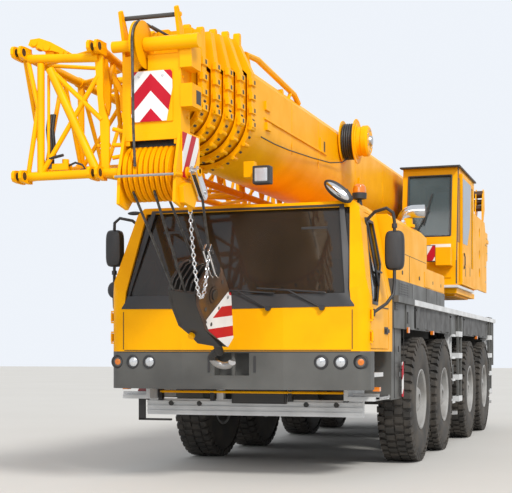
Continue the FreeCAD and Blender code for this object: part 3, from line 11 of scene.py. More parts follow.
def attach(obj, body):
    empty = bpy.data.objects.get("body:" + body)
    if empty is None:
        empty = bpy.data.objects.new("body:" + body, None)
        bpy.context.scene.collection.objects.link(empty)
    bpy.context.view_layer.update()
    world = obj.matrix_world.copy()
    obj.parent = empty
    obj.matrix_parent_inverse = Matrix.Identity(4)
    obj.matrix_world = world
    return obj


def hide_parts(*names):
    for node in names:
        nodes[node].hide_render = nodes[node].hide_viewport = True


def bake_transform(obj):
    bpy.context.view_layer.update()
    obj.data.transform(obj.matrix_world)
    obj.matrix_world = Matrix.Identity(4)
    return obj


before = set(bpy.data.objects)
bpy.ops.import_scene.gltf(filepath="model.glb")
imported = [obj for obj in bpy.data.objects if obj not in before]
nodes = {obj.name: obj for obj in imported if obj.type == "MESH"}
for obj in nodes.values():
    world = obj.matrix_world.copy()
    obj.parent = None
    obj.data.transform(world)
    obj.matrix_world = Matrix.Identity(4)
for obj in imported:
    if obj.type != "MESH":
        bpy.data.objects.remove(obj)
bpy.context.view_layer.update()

# Camera: place and turn fitted to the wheels, cab and boom head in the photograph
CAMERA_PLACE = (3.585, -14.392, 1.1756)
CAMERA_TURN = math.radians(17.806)
CAMERA_LENS = 83.3
CAMERA_SHIFT = 0.2109
lens = bpy.data.cameras.new("photo_lens")
lens.lens = CAMERA_LENS
lens.sensor_width = 36.0
lens.shift_y = CAMERA_SHIFT
lens.clip_end = 200.0
camera = bpy.data.objects.new("photo_camera", lens)
camera.location = CAMERA_PLACE
camera.rotation_euler = (math.pi / 2, 0.0, CAMERA_TURN)
bpy.context.scene.collection.objects.link(camera)
bpy.context.scene.camera = camera
bpy.context.scene.view_settings.view_transform = "Standard"

# Places and sizes shared by several pieces
AXLES = {"one": -1.4, "two": 0.25, "three": 2.6, "four": 4.25}
SIDES = {"left": 1, "right": -1}
TYRE_RADIUS = 0.685
TYRE_OUT = 1.34
TYRE_WIDTH = 0.385
RIM_RADIUS = 0.32
TREAD_DEEP = 0.022
TREAD_BLOCKS = 44
WHEEL_NUTS = 10
FACE = -3.97
WAIST = 1.6
SHOULDER = 1.7
CAB_HALF = 1.28
ROOF_HALF = 1.12
CAB_ROOF = 2.62
SCREEN_SLOPE = 0.43 / 1.02
DECK_TOP = 1.73
PIVOT = Vector((0.0, 4.5, 3.25))
BOOM_SLOPE = math.radians(0.7)
BOOM_HALF = 0.42
BOOM_UP = 0.56
BOOM_DOWN = 0.331
STEP = 0.032
COLLAR_AT = 9.16
COLLAR_PITCH = 0.215
COLLAR_LONG = 0.095
COLLAR_SIDE = 0.03
COLLAR_RISE = 0.19
HEAD_SHAFT = (10.297, -0.536)
HEAD_FACE = -10.384
TOP_SHEAVE = (10.415, 0.452)
ROPE_X = -0.07
ROPE = 0.0115
BLOCK_LEAN = math.radians(47)
BLOCK_TURN = math.radians(-12)


# Materials

def noise(tree, scale, detail=4.0):
    """A noise over the surface, in the object's own coordinates."""
    place = tree.nodes.new("ShaderNodeTexCoord")
    grain = tree.nodes.new("ShaderNodeTexNoise")
    grain.inputs["Scale"].default_value = scale
    grain.inputs["Detail"].default_value = detail
    tree.links.new(place.outputs["Object"], grain.inputs["Vector"])
    return grain.outputs["Fac"]


def spread(tree, source, low, high):
    """A source between 0.35 and 0.65 spread between two values."""
    ramp = tree.nodes.new("ShaderNodeMapRange")
    ramp.inputs["From Min"].default_value = 0.35
    ramp.inputs["From Max"].default_value = 0.65
    ramp.inputs["To Min"].default_value = low
    ramp.inputs["To Max"].default_value = high
    tree.links.new(source, ramp.inputs["Value"])
    return ramp.outputs["Result"]


def patchy_material(name, colour, patch_colour, rough, scale):
    """A new material whose colour and roughness drift towards a second colour in noise patches: faint soiling on
    the surfaces, painted reflection on the cab glass.
    """
    material = bpy.data.materials.new(name)
    material.use_nodes = True
    tree = material.node_tree
    shader = tree.nodes["Principled BSDF"]
    patch_noise = noise(tree, scale)
    mix = tree.nodes.new("ShaderNodeMix")
    mix.data_type = "RGBA"
    mix.inputs["A"].default_value = (*colour, 1.0)
    mix.inputs["B"].default_value = (*patch_colour, 1.0)
    tree.links.new(spread(tree, patch_noise, 0.0, 1.0), mix.inputs["Factor"])
    tree.links.new(mix.outputs["Result"], shader.inputs["Base Color"])
    tree.links.new(spread(tree, patch_noise, *rough), shader.inputs["Roughness"])
    return material, tree, shader


def surface(name, colour, patch_colour, rough=(0.35, 0.45), metal=0.0, coat=0.0, scale=3.0, grain=60.0, bump=0.04,
            shine=0.5):
    """A painted, metal, rubber or plastic surface with faint soiling and grain."""
    material, tree, shader = patchy_material(name, colour, patch_colour, rough, scale)
    lift = tree.nodes.new("ShaderNodeBump")
    lift.inputs["Strength"].default_value = bump
    lift.inputs["Distance"].default_value = 0.004
    tree.links.new(noise(tree, grain, 2.0), lift.inputs["Height"])
    tree.links.new(lift.outputs["Normal"], shader.inputs["Normal"])
    shader.inputs["Metallic"].default_value = metal
    shader.inputs["Coat Weight"].default_value = coat
    shader.inputs["Specular IOR Level"].default_value = shine
    return material


def pane(name, colour, through, patch_tint):
    """Glass with noise patches of a second colour; the cab glass's dark brown and its darker patches are a
    painted reflection of the boom's shaded underside.
    """
    material, tree, shader = patchy_material(name, colour, patch_tint, (0.02, 0.08), 2.0)
    shader.inputs["Transmission Weight"].default_value = through
    shader.inputs["IOR"].default_value = 1.45
    return material


YELLOW = surface("yellow paint", (0.93, 0.43, 0.001), (0.86, 0.38, 0.001), (0.34, 0.46), shine=0.1)
GREY = surface("grey paint", (0.105, 0.105, 0.1), (0.082, 0.082, 0.078), (0.4, 0.55), shine=0.35)
PALE = surface("pale grey paint", (0.68, 0.69, 0.7), (0.54, 0.55, 0.56), (0.35, 0.5))
DARK = surface("dark frame paint", (0.035, 0.035, 0.035), (0.06, 0.055, 0.05), (0.5, 0.7))
BLACK = surface("black paint", (0.012, 0.011, 0.011), (0.03, 0.026, 0.022), (0.35, 0.5))
BROWN = surface("oiled brown paint", (0.1, 0.042, 0.014), (0.03, 0.015, 0.008), (0.3, 0.5), scale=4.0)
PLASTIC = surface("black plastic", (0.02, 0.02, 0.022), (0.03, 0.03, 0.032), (0.45, 0.6), grain=200.0)
TYRE = surface("tyre rubber", (0.028, 0.026, 0.024), (0.075, 0.065, 0.055), (0.7, 0.9), scale=5.0)
RUBBER = surface("grey curtain rubber", (0.1, 0.1, 0.1), (0.062, 0.062, 0.062), (0.6, 0.8), scale=6.0)
RIM = surface("rim paint", (0.34, 0.34, 0.335), (0.2, 0.19, 0.18), (0.4, 0.55))
STEEL = surface("bare steel", (0.5, 0.5, 0.5), (0.35, 0.34, 0.33), (0.25, 0.45), metal=0.9)
CHROME = surface("chrome", (0.75, 0.75, 0.76), (0.6, 0.6, 0.6), (0.06, 0.15), metal=1.0, bump=0.01)
WIRE = surface("steel rope", (0.1, 0.095, 0.09), (0.05, 0.045, 0.04), (0.45, 0.6), metal=0.6, scale=20.0)
RED = surface("red paint", (0.5, 0.004, 0.022), (0.42, 0.004, 0.016), shine=0.2)
WHITE = surface("white paint", (0.78, 0.78, 0.78), (0.66, 0.66, 0.66))
AMBER = surface("amber lens", (0.85, 0.25, 0.01), (0.6, 0.14, 0.01), (0.1, 0.2), coat=0.5)
RED_LENS = surface("red lens", (0.5, 0.01, 0.01), (0.3, 0.01, 0.01), (0.1, 0.2), coat=0.5)
CLEAR = surface("lamp glass", (0.62, 0.64, 0.66), (0.45, 0.47, 0.5), (0.05, 0.12), coat=0.6, metal=0.4)
# Cab glass: the dark brown colour and the darker brown patches are a painted reflection of the boom's shaded
# yellow underside.
GLASS = pane("cab glass", (0.09, 0.075, 0.065), 0.7, (0.055, 0.05, 0.045))
CABIN_GLASS = pane("operator glass", (0.14, 0.2, 0.22), 0.6, (0.09, 0.13, 0.14))
# An opaque bluish sheet laid over the operator cab's side windows: its colour is a painted reflection.
WINDOW_REFLECTION_SHEET = surface("side window painted reflection", (0.13, 0.17, 0.22), (0.1, 0.13, 0.17), (0.05, 0.1))


# Shapes

def across(a, b):
    """Two unit vectors square to the line from a to b."""
    along = (b - a).normalized()
    side = along.cross(Vector((0, 0, 1)))
    if side.length < 0.1:
        side = along.cross(Vector((0, 1, 0)))
    side.normalize()
    return side, along.cross(side).normalized()


class Shape:
    """The faces of one piece, with a paint number each."""

    def __init__(self):
        self.mesh = bmesh.new()

    def faces(self, points, loops, paint=0):
        """Faces over points."""
        corners = [self.mesh.verts.new(point) for point in points]
        for loop in loops:
            face = self.mesh.faces.new([corners[place] for place in loop])
            face.material_index = paint

    def block(self, low, high, paint=0):
        """A block between two corners."""
        points = [(x, y, z) for x in (low[0], high[0]) for y in (low[1], high[1]) for z in (low[2], high[2])]
        loops = [(0, 1, 3, 2), (4, 6, 7, 5), (0, 4, 5, 1), (2, 3, 7, 6), (0, 2, 6, 4), (1, 5, 7, 3)]
        self.faces(points, loops, paint)

    def blocks(self, *rows):
        """Blocks: each row is a low corner, a high corner and a paint."""
        for row in rows:
            self.block(*row)

    def rings(self, rings, paint=0, closed=False, capped=True):
        """A skin over equal rings of points."""
        count = len(rings[0])
        points = [point for ring in rings for point in ring]
        loops = []
        for row in range(len(rings) - (0 if closed else 1)):
            after = (row + 1) % len(rings)
            for place in range(count):
                beside = (place + 1) % count
                loops.append((row * count + place, row * count + beside,
                              after * count + beside, after * count + place))
        if capped and not closed:
            loops.append(tuple(reversed(range(count))))
            loops.append(tuple((len(rings) - 1) * count + place for place in range(count)))
        self.faces(points, loops, paint)

    def bar(self, start, end, radius, paint=0, sides=12, end_radius=None):
        """A round bar or cone between two points."""
        start = Vector(start)
        end = Vector(end)
        side, up = across(start, end)
        rings = []
        for point, size in ((start, radius), (end, radius if end_radius is None else end_radius)):
            rings.append([point + (side * math.cos(turn) + up * math.sin(turn)) * size
                          for turn in (math.tau * place / sides for place in range(sides))])
        self.rings(rings, paint)

    def bars(self, *rows):
        """Bars: each row is a start, an end, a radius, a paint and a number of sides."""
        for row in rows:
            self.bar(*row)

    def tube(self, path, radius, paint=0, sides=8, closed=False):
        """A round tube along points."""
        path = [Vector(point) for point in path]
        rings = []
        side = None
        for place, point in enumerate(path):
            if closed:
                along = path[(place + 1) % len(path)] - path[place - 1]
            else:
                along = path[min(place + 1, len(path) - 1)] - path[max(place - 1, 0)]
            along.normalize()
            if side is None:
                side = across(Vector(), along)[0]
            side = (side - along * side.dot(along)).normalized()
            up = along.cross(side)
            rings.append([point + (side * math.cos(turn) + up * math.sin(turn)) * radius
                          for turn in (math.tau * spoke / sides for spoke in range(sides))])
        self.rings(rings, paint, closed)

    def slab(self, outline, axis, span, paint=0):
        """An outline pushed along an axis: points are the other two coordinates in their order."""
        rings = []
        for depth in span:
            ring = []
            for first, second in outline:
                point = {"x": (depth, first, second), "y": (first, depth, second),
                         "z": (first, second, depth)}
                ring.append(Vector(point[axis]))
            rings.append(ring)
        self.rings(rings, paint)

    def turned(self, profile, centre, paint=0, sides=48, axis="x"):
        """A ring or disc about a line along an axis: profile points are (radius, along)."""
        rings = []
        for place in range(sides):
            turn = math.tau * place / sides
            ring = []
            for radius, along in profile:
                first = radius * math.cos(turn)
                second = radius * math.sin(turn)
                offset = {"x": (along, first, second), "y": (second, along, first),
                          "z": (first, second, along)}
                ring.append(Vector(centre) + Vector(offset[axis]))
            rings.append(ring)
        self.rings(rings, paint, closed=True)

    def ball(self, centre, sizes, paint=0, rows=10, sides=20):
        """An ellipsoid."""
        rings = []
        for row in range(1, rows):
            rise = math.pi * row / rows
            rings.append([Vector(centre) + Vector((
                sizes[0] * math.sin(rise) * math.cos(math.tau * place / sides),
                sizes[1] * math.sin(rise) * math.sin(math.tau * place / sides),
                sizes[2] * math.cos(rise))) for place in range(sides)])
        self.rings(rings, paint)

    def twin(self):
        """The same faces mirrored to the crane's other side, added to these."""
        copied = bmesh.ops.duplicate(self.mesh,
                                     geom=self.mesh.verts[:] + self.mesh.edges[:] + self.mesh.faces[:])
        for part in copied["geom"]:
            if isinstance(part, bmesh.types.BMVert):
                part.co.x = -part.co.x

    def place(self, matrix):
        """Carry all points by a matrix."""
        bmesh.ops.transform(self.mesh, matrix=matrix, verts=self.mesh.verts)

    def piece(self, name, body, paints, stands_for=(), bevel=0.0, crease=35):
        """The finished object, riding on its body."""
        bmesh.ops.recalc_face_normals(self.mesh, faces=self.mesh.faces)
        for edge in self.mesh.edges:
            edge.smooth = edge.is_manifold and edge.calc_face_angle(math.pi) < math.radians(crease)
        for face in self.mesh.faces:
            face.smooth = True
        data = bpy.data.meshes.new(name)
        self.mesh.to_mesh(data)
        self.mesh.free()
        for paint in paints:
            data.materials.append(paint)
        thing = bpy.data.objects.new(name, data)
        bpy.context.scene.collection.objects.link(thing)
        if bevel:
            rounding = thing.modifiers.new("rounding", "BEVEL")
            rounding.width = bevel
            rounding.segments = 2
            rounding.limit_method = "ANGLE"
            rounding.angle_limit = math.radians(40)
            rounding.harden_normals = True
        if body:
            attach(thing, body)
        if stands_for:
            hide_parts(*stands_for)
        return thing


def clip(outline, normal, offset):
    """The part of a flat outline where the dot product with a normal is at least an offset."""
    kept = []
    for place, point in enumerate(outline):
        before = outline[place - 1]
        here = point[0] * normal[0] + point[1] * normal[1] - offset
        there = before[0] * normal[0] + before[1] * normal[1] - offset
        if here * there < 0:
            share = there / (there - here)
            kept.append((before[0] + (point[0] - before[0]) * share,
                         before[1] + (point[1] - before[1]) * share))
        if here >= 0:
            kept.append(point)
    return kept


def stripes(shape, outline, axis, span, degrees, pitch, shift):
    """An outline cut into slanting bands of the first two paints in turn."""
    angle = math.radians(degrees)
    normal = (-math.sin(angle), math.cos(angle))
    reach = [point[0] * normal[0] + point[1] * normal[1] for point in outline]
    band = math.floor((min(reach) - shift) / pitch)
    while shift + band * pitch < max(reach):
        low = shift + band * pitch
        strip = clip(clip(outline, normal, low), (-normal[0], -normal[1]), -low - pitch)
        if len(strip) > 2:
            shape.slab(strip, axis, span, band % 2)
        band += 1


BOOM_FRAME = Matrix.Translation(PIVOT) @ Matrix.Rotation(BOOM_SLOPE, 4, "X")


def on_boom(x, forward, up):
    """A point of the level boom, carried to the sloping one."""
    sine = math.sin(BOOM_SLOPE)
    cosine = math.cos(BOOM_SLOPE)
    return PIVOT + Vector((x, -forward * cosine - up * sine, -forward * sine + up * cosine))


HANG_FRAME = Matrix.Translation(on_boom(0, *HEAD_SHAFT)) @ Matrix.Rotation(BLOCK_LEAN, 4, "X")


def cab_plan(x):
    """Where the cab's face lies across its width."""
    x = abs(x)
    if x <= 0.5:
        return FACE
    if x <= 1.16:
        return FACE + 0.08 * (x - 0.5) / 0.66
    return FACE + 0.2 - math.sqrt(max(0.12 ** 2 - (x - 1.16) ** 2, 0))


def cab_face(x, z):
    """The cab's front surface."""
    return max(cab_plan(x), FACE + SCREEN_SLOPE * (z - WAIST))


def cab_side(z):
    """The cab's left surface."""
    return CAB_HALF - max(0.0, z - SHOULDER) * (CAB_HALF - ROOF_HALF) / (CAB_ROOF - 0.06 - SHOULDER)


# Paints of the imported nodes, by the start of their names

NODE_PAINTS = {
    YELLOW: ("cab_shell", "hood", "door", "turntable", "counterweight", "side_frame", "oil_tank",
             "opcab_shell",
             "opcab_door", "luff_barrel", "boom", "head_sheaves", "jib", "hose_reel"),
    DARK: ("chassis", "axles", "engine", "ring_and_posts", "knuckle"),
    GREY: ("outrigger_boxes", "outrigger_beam", "front_bumper", "deck"),
    PLASTIC: ("cab_interior", "opcab_interior", "mirror"),
    GLASS: ("windscreen",), CABIN_GLASS: ("opcab_glass",), PALE: ("steps",), CHROME: ("luff_rod",),
    STEEL: ("winch", "outrigger_jack"), BLACK: ("hook",), TYRE: ("wheel",),
}
for name, thing in nodes.items():
    thing.data.materials.clear()
    thing.data.materials.append(next(paint for paint,
                                     starts in NODE_PAINTS.items() if name.startswith(starts)))


def repaint(name, paint, chosen):
    """Give the faces of a node that a test picks another paint."""
    data = nodes[name].data
    data.materials.append(paint)
    number = len(data.materials) - 1
    for face in data.polygons:
        if chosen(face.center, face.normal):
            face.material_index = number


repaint("deck", PALE, lambda at, facing: abs(at.x) > 1.286 and at.z > 1.69)
repaint("front_bumper", PALE, lambda at, facing: at.y > -3.6)
for side in SIDES:
    repaint(f"door_{side}", GLASS, lambda at, facing: 0.02 < cab_side(at.z) - abs(at.x) < 0.042
            and abs(facing.x) > 0.8 and at.z > 1.63)
repaint("opcab_door", CABIN_GLASS, lambda at, facing: 1.315 < at.x < 1.335 and abs(facing.x) > 0.9)
repaint("hook", STEEL, lambda at, facing: at.z < 1.12)
repaint("winch", WIRE, lambda at, facing: abs(at.x) < 0.33)
repaint("hose_reel", BLACK, lambda at, facing: 0.465 < at.x < 0.715)


# Wheels: tyres with tread blocks, and dished rims with nuts

TREAD_LANES = ((-0.19, -0.105, 0.0), (-0.095, -0.008, 0.35), (0.008, 0.095, 0.1), (0.105, 0.19, 0.45))
# Holes, nuts and studs: distance from the middle, start and end from the dish, radius, paint, sides and lag
RIM_BARS = ((0.236, -0.005, 0.0015, 0.023, 1, 16, 0.5), (0.172, 0.01, 0.045, 0.016, 2, 6, 0.0),
            (0.172, 0.04, 0.062, 0.008, 2, 8, 0.0))


def make_wheel(axle, side):
    """The tyre and the rim of one wheel."""
    sign = SIDES[side]
    middle = (0.0, AXLES[axle], TYRE_RADIUS)
    inner = TYRE_OUT - TYRE_WIDTH
    tread_floor = TYRE_RADIUS - TREAD_DEEP
    profile = [
        (RIM_RADIUS - 0.01, TYRE_OUT - 0.035), (RIM_RADIUS + 0.02, TYRE_OUT - 0.016),
        (RIM_RADIUS + 0.06, TYRE_OUT - 0.01), (RIM_RADIUS + 0.075, TYRE_OUT - 0.004),
        (0.45, TYRE_OUT), (0.535, TYRE_OUT - 0.002), (0.59, TYRE_OUT - 0.012), (0.625, TYRE_OUT - 0.03),
        (tread_floor - 0.012, TYRE_OUT - 0.05), (tread_floor, TYRE_OUT - 0.08),
        (tread_floor, inner + 0.08), (tread_floor - 0.012, inner + 0.05), (0.625, inner + 0.03),
        (0.59, inner + 0.012), (0.535, inner), (0.4, inner + 0.008), (RIM_RADIUS - 0.01, inner + 0.035)]
    tyre = Shape()
    tyre.turned([(radius, along * sign) for radius, along in profile], middle, sides=72)
    share = math.tau / TREAD_BLOCKS
    width = share * 0.33
    for place in range(TREAD_BLOCKS):
        for low, high, lag in TREAD_LANES:
            edge = abs(low + high) > 0.2
            top = TYRE_RADIUS - (0.003 if edge else 0.0)
            angle = (place + lag) * share
            foot = tread_floor - (0.05 if edge else 0.004)
            ring = []
            for radius, squeeze in ((foot, 1.0), (top, 0.85)):
                for across_at in (low, high):
                    outer = edge and abs(across_at) > 0.18
                    reach = across_at * (0.93 if outer and radius == top else 1.0)
                    for swing in (-width * squeeze, width * squeeze):
                        ring.append(Vector(middle) + Vector((
                            (TYRE_OUT - TYRE_WIDTH / 2 + reach) * sign,
                            math.cos(angle + swing) * radius, math.sin(angle + swing) * radius)))
            tyre.faces(ring, [(0, 2, 3, 1), (4, 5, 7, 6), (0, 1, 5, 4), (2, 6, 7, 3), (0, 4, 6, 2),
                              (1, 3, 7, 5)])
    tyre.piece(f"tyre_{axle}_{side}", f"wheel_{axle}_{side}", [TYRE], [f"wheel_{axle}_{side}"], crease=28)
    rim = Shape()
    dish = TYRE_OUT - 0.13
    hub_end = TYRE_OUT - 0.035
    profile = [
        (0.056, dish - 0.09), (0.29, dish - 0.09), (0.29, inner + 0.03), (RIM_RADIUS - 0.002, inner + 0.02),
        (RIM_RADIUS - 0.002, TYRE_OUT - 0.03), (RIM_RADIUS + 0.012, TYRE_OUT - 0.014),
        (RIM_RADIUS - 0.004, TYRE_OUT - 0.01), (RIM_RADIUS - 0.022, TYRE_OUT - 0.028),
        (RIM_RADIUS - 0.035, dish + 0.02), (RIM_RADIUS - 0.06, dish), (0.21, dish), (0.19, dish + 0.012),
        (0.155, dish + 0.012), (0.14, dish + 0.03), (0.13, hub_end - 0.02), (0.1, hub_end), (0.056, hub_end)]
    rim.turned([(radius, along * sign) for radius, along in profile], middle, sides=64)
    for place in range(WHEEL_NUTS):
        for out, start, end, radius, paint, sides, lag in RIM_BARS:
            turn = math.tau * (place + lag) / WHEEL_NUTS
            spot = (middle[1] + math.cos(turn) * out, middle[2] + math.sin(turn) * out)
            rim.bar(((dish + start) * sign, *spot), ((dish + end) * sign, *spot), radius, paint, sides)
    rim.piece(f"rim_{axle}_{side}", f"wheel_{axle}_{side}", [RIM, BLACK, STEEL])


for axle in AXLES:
    for side in SIDES:
        make_wheel(axle, side)


# Boom: pads on the collars, rope guard, flank fittings, lamp and reel

def boom_piece(shape, name, body, paints, **more):
    """A piece built on the level boom, carried to the foot pin."""
    shape.place(BOOM_FRAME)
    return shape.piece(name, body, paints, **more)


FINGER = ((0.005, -0.12), (0.005, 0.03), (0.018, 0.05), (0.052, 0.05), (0.065, 0.03), (0.065, -0.12))
# Ribs below a collar and holes between them: how far out, start, end, radius, paint, sides and lag
COLLAR_RIBS = ((0.004, -0.02, 0.098, 0.02, 0, 8, 0.0), (-0.004, 0.03, 0.075, 0.015, 1, 4, 0.5))


def make_collar(number):
    """Side pads with their holes, top pads, fingers and lower ribs of one collar."""
    front = -(COLLAR_AT + COLLAR_PITCH * number + COLLAR_LONG)
    half = BOOM_HALF - STEP * number + COLLAR_SIDE
    top = BOOM_UP - STEP * number + COLLAR_RISE
    bottom = -BOOM_DOWN + STEP * number - COLLAR_SIDE
    middle = Vector((0, 0, bottom + half))
    shape = Shape()
    for up in (-0.02, 0.1, 0.22, 0.34):
        for sign in (1, -1):
            shape.blocks(
                ((sign * half - 0.02, front - 0.02, up), (sign * half + 0.014, front + 0.1, up + 0.06)),
                ((sign * half, front + 0.03, up + 0.012), (sign * (half + 0.016), front + 0.07, up + 0.048),
                 1))
    for x in (-0.2, 0.0, 0.2):
        shape.block((x - 0.045, front - 0.02, top - 0.07), (x + 0.045, front + 0.07, top + 0.012))
    for x in (half - 0.14, 0.14 - half):
        shape.slab([(front + y, top + z) for y, z in FINGER], "x", (x - 0.028, x + 0.028))
    for place in range(9):
        for out, start, end, radius, paint, sides, lag in COLLAR_RIBS:
            turn = math.pi * (1.08 + 0.105 * (place + lag))
            at = middle + Vector((math.cos(turn), 0, math.sin(turn))) * (half + out)
            shape.bar(at + Vector((0, front + start, 0)), at + Vector((0, front + end, 0)), radius, paint, sides)
    body = "boom_base" if number == 0 else f"boom_section_{number}"
    boom_piece(shape, f"collar_pads_{number}", body, [YELLOW, DARK], bevel=0.004)


for number in range(5):
    make_collar(number)

guard = Shape()
guard.tube([on_boom(0.33, forward, up) for forward, up in (
    (8.95, 0.52), (9.05, 0.66), (8.7, 0.69), (7.5, 0.61), (7.35, 0.55))], 0.028)
guard.bars((on_boom(0.33, 7.75, 0.5), on_boom(0.33, 7.62, 0.62), 0.018),
           (on_boom(0.33, 7.9, 0.56), on_boom(0.2, 7.9, 0.55), 0.03))
guard.piece("rope_guard", "boom_base", [YELLOW])

# Forward and up of the brackets' middles, with their length and height
FLANK_BRACKETS = ((8.72, 0.26, 0.14, 0.08), (8.7, 0.08, 0.12, 0.07), (6.79, 0.21, 0.14, 0.15),
                  (4.9, 0.05, 0.3, 0.1))
flank = Shape()
for forward, up, length, height in FLANK_BRACKETS:
    flank.block((BOOM_HALF - 0.004, -forward - length / 2, up - height / 2),
                (BOOM_HALF + 0.02, -forward + length / 2, up + height / 2))
for forward in (7.9, 6.9, 5.2, 3.6, 2.4):
    for x in (BOOM_HALF, -BOOM_HALF):
        flank.block((x - 0.003, -forward - 0.006, -0.05), (x + 0.003, -forward + 0.006, 0.44))
flank.blocks(((BOOM_HALF - 0.003, -8.8, 0.132), (BOOM_HALF + 0.016, -6.6, 0.15)),
             ((BOOM_HALF + 0.016, -6.76, 0.15), (BOOM_HALF + 0.022, -6.7, 0.26), 1))
boom_piece(flank, "boom_flank_brackets", "boom_base", [YELLOW, BROWN], bevel=0.004)

lamp = Shape()
lamp.blocks(((0.478, -9.33, -0.512), (0.632, -9.23, -0.358)),
            ((0.497, -9.336, -0.493), (0.613, -9.32, -0.377), 1),
            ((0.44, -9.24, -0.46), (0.56, -9.19, -0.4), 2), ((0.36, -9.22, -0.44), (0.46, -9.14, -0.3), 2))
boom_piece(lamp, "boom_work_lamp", "boom_base", [PLASTIC, CLEAR, YELLOW], bevel=0.012)

REEL_AT = (0.0, -5.856, 0.392)
HOSE = 0.014
reel = Shape()
for coil in range(5):
    x = 0.464 + 0.026 * coil
    reel.turned([(0.19 + HOSE * math.cos(math.tau * spoke / 8), x + HOSE * math.sin(math.tau * spoke / 8))
                 for spoke in range(8)], REEL_AT, 0, 36)
reel.turned([(0.02, 0.42), (0.185, 0.42), (0.185, 0.59), (0.02, 0.59)], REEL_AT, 0, 40)
for x, edge in ((0.432, 0.235), (0.586, 0.248)):
    reel.turned([(0.02, x), (edge, x), (edge + 0.004, x + 0.007), (edge, x + 0.014), (0.02, x + 0.014)],
                REEL_AT, 1, 48)
reel.turned([(0.02, 0.6), (0.2, 0.6), (0.19, 0.615), (0.165, 0.615), (0.16, 0.66), (0.172, 0.665),
             (0.172, 0.72),
             (0.15, 0.74), (0.02, 0.74)], REEL_AT, 1, 40)
reel.turned([(0.003, 0.738), (0.06, 0.738), (0.05, 0.768), (0.003, 0.768)], REEL_AT, 2, 24)
for place in range(6):
    turn = math.tau * (place + 0.5) / 6
    spot = (REEL_AT[1] + 0.115 * math.cos(turn), REEL_AT[2] + 0.115 * math.sin(turn))
    reel.bar((0.738, *spot), (0.747, *spot), 0.014, 2, 6)
reel.block((0.4, REEL_AT[1] - 0.06, REEL_AT[2] - 0.2), (0.44, REEL_AT[1] + 0.06, REEL_AT[2] + 0.02), 1)
boom_piece(reel, "reel_with_hose", "boom_base", [PLASTIC, YELLOW, STEEL], stands_for=["hose_reel"],
           bevel=0.003)

feed = Shape()
feed.tube([on_boom(*spot) for spot in (
    (0.43, 8.92, -0.045), (0.432, 8.5, -0.045), (0.434, 8.06, -0.03), (0.438, 7.2, 0.02), (0.445, 6.5, 0.07),
    (0.48, 6.1, 0.13), (0.5, 5.9, 0.205))], 0.006)
feed.piece("reel_feed_hose", "boom_base", [PLASTIC])

# Boom head: lower bar, side boxes, lugs, bolts, chevrons and striped side plate
head = Shape()
head.blocks(((-0.245, HEAD_FACE, -0.32), (-0.185, HEAD_FACE + 0.012, -0.22)),
            ((0.185, HEAD_FACE, -0.32), (0.245, HEAD_FACE + 0.012, -0.22)),
            ((-0.245, HEAD_FACE - 0.006, -0.283), (0.245, HEAD_FACE + 0.01, -0.218)),
            ((-0.21, HEAD_FACE + 0.09, -0.36), (0.21, HEAD_FACE + 0.1, -0.16), 1),
            ((0.24, -10.4, 0.26), (0.34, -10.19, 0.44)), ((0.24, -10.39, -0.04), (0.34, -10.18, 0.14)),
            ((0.338, -10.3, -0.005), (0.343, -10.2, 0.1), 1))
head.slab([(-10.35, -0.62), (-10.22, -0.62), (-10.14, -0.72), (-10.2, -0.8), (-10.42, -0.78),
           (-10.45, -0.66)],
          "x", (0.245, 0.285))
head.slab([(-10.24, -0.68), (-10.17, -0.68), (-10.16, -0.79), (-10.2, -0.83), (-10.25, -0.79)], "x",
          (0.235, 0.26))
for forward, up in ((10.3, -0.68), (10.4, -0.7), (10.25, -0.75)):
    head.bar((0.24, -forward, up), (0.284, -forward, up), 0.022, 0, 10)
for x in (-0.253, 0.247):
    for forward, up in ((10.34, 0.2), (10.34, 0.0), (10.25, 0.3), (10.25, -0.1)):
        head.bar((x, -forward, up), (x + 0.006, -forward, up), 0.014, 0, 8)
for x in (0.232, -0.232):
    head.bar((x, -10.37, 0.62), (x, -10.44, 0.72), 0.02, 0, 8)
head.block((-0.2, -10.37, 0.36), (0.235, -10.2, 0.385))
boom_piece(head, "head_trim", "boom_section_5", [YELLOW, BLACK], bevel=0.004)

CHEVRON_PLATE = ((-0.163, -0.1), (-0.13, -0.14), (0.13, -0.14), (0.18, 0.11), (0.178, 0.232), (0.165, 0.25),
                 (-0.15, 0.25), (-0.163, 0.24))
chevrons = Shape()
for sign in (1, -1):
    stripes(chevrons, clip(CHEVRON_PLATE, (sign, 0), 0.0), "y", (HEAD_FACE - 0.016, HEAD_FACE - 0.009),
            -47 * sign, 0.092, -0.026)
for x in (-0.1, 0.1):
    chevrons.bar((x, HEAD_FACE - 0.02, 0.21), (x, HEAD_FACE - 0.01, 0.21), 0.01, 2, 10)
boom_piece(chevrons, "head_chevrons", "boom_section_5", [WHITE, RED, STEEL])

SIDE_PLATE = ((HEAD_FACE, -0.23), (HEAD_FACE, -0.579), (-10.3, -0.579), (-10.1, -0.43), (-10.04, -0.32),
              (-10.04, -0.23))
side_stripes = Shape()
stripes(side_stripes, SIDE_PLATE, "x", (0.254, 0.26), 58, 0.085, 0.02)
boom_piece(side_stripes, "head_side_stripes", "boom_section_5", [WHITE, RED])

rod_across = Shape()
rod_across.bar(on_boom(-0.245, 10.537, -0.575), on_boom(0.245, 10.537, -0.575), 0.0105, 0, 10)
for x in (-0.245, 0.245):
    rod_across.bar(on_boom(x, 10.38, -0.56), on_boom(x, 10.54, -0.575), 0.014, 1, 8)
rod_across.piece("head_cross_rod", "boom_section_5", [STEEL, YELLOW])
guard_bar = Shape()
guard_bar.bars((on_boom(-0.25, 10.393, 0.671), on_boom(0.25, 10.393, 0.671), 0.0175, 0, 10),
               (on_boom(0.0, 10.38, 0.6), on_boom(0.17, 10.25, 0.5), 0.011, 0, 8))
guard_bar.piece("head_guard_bar", "boom_section_5", [DARK])


# Ropes: along the boom top, over the upper sheave and down to the lower ones

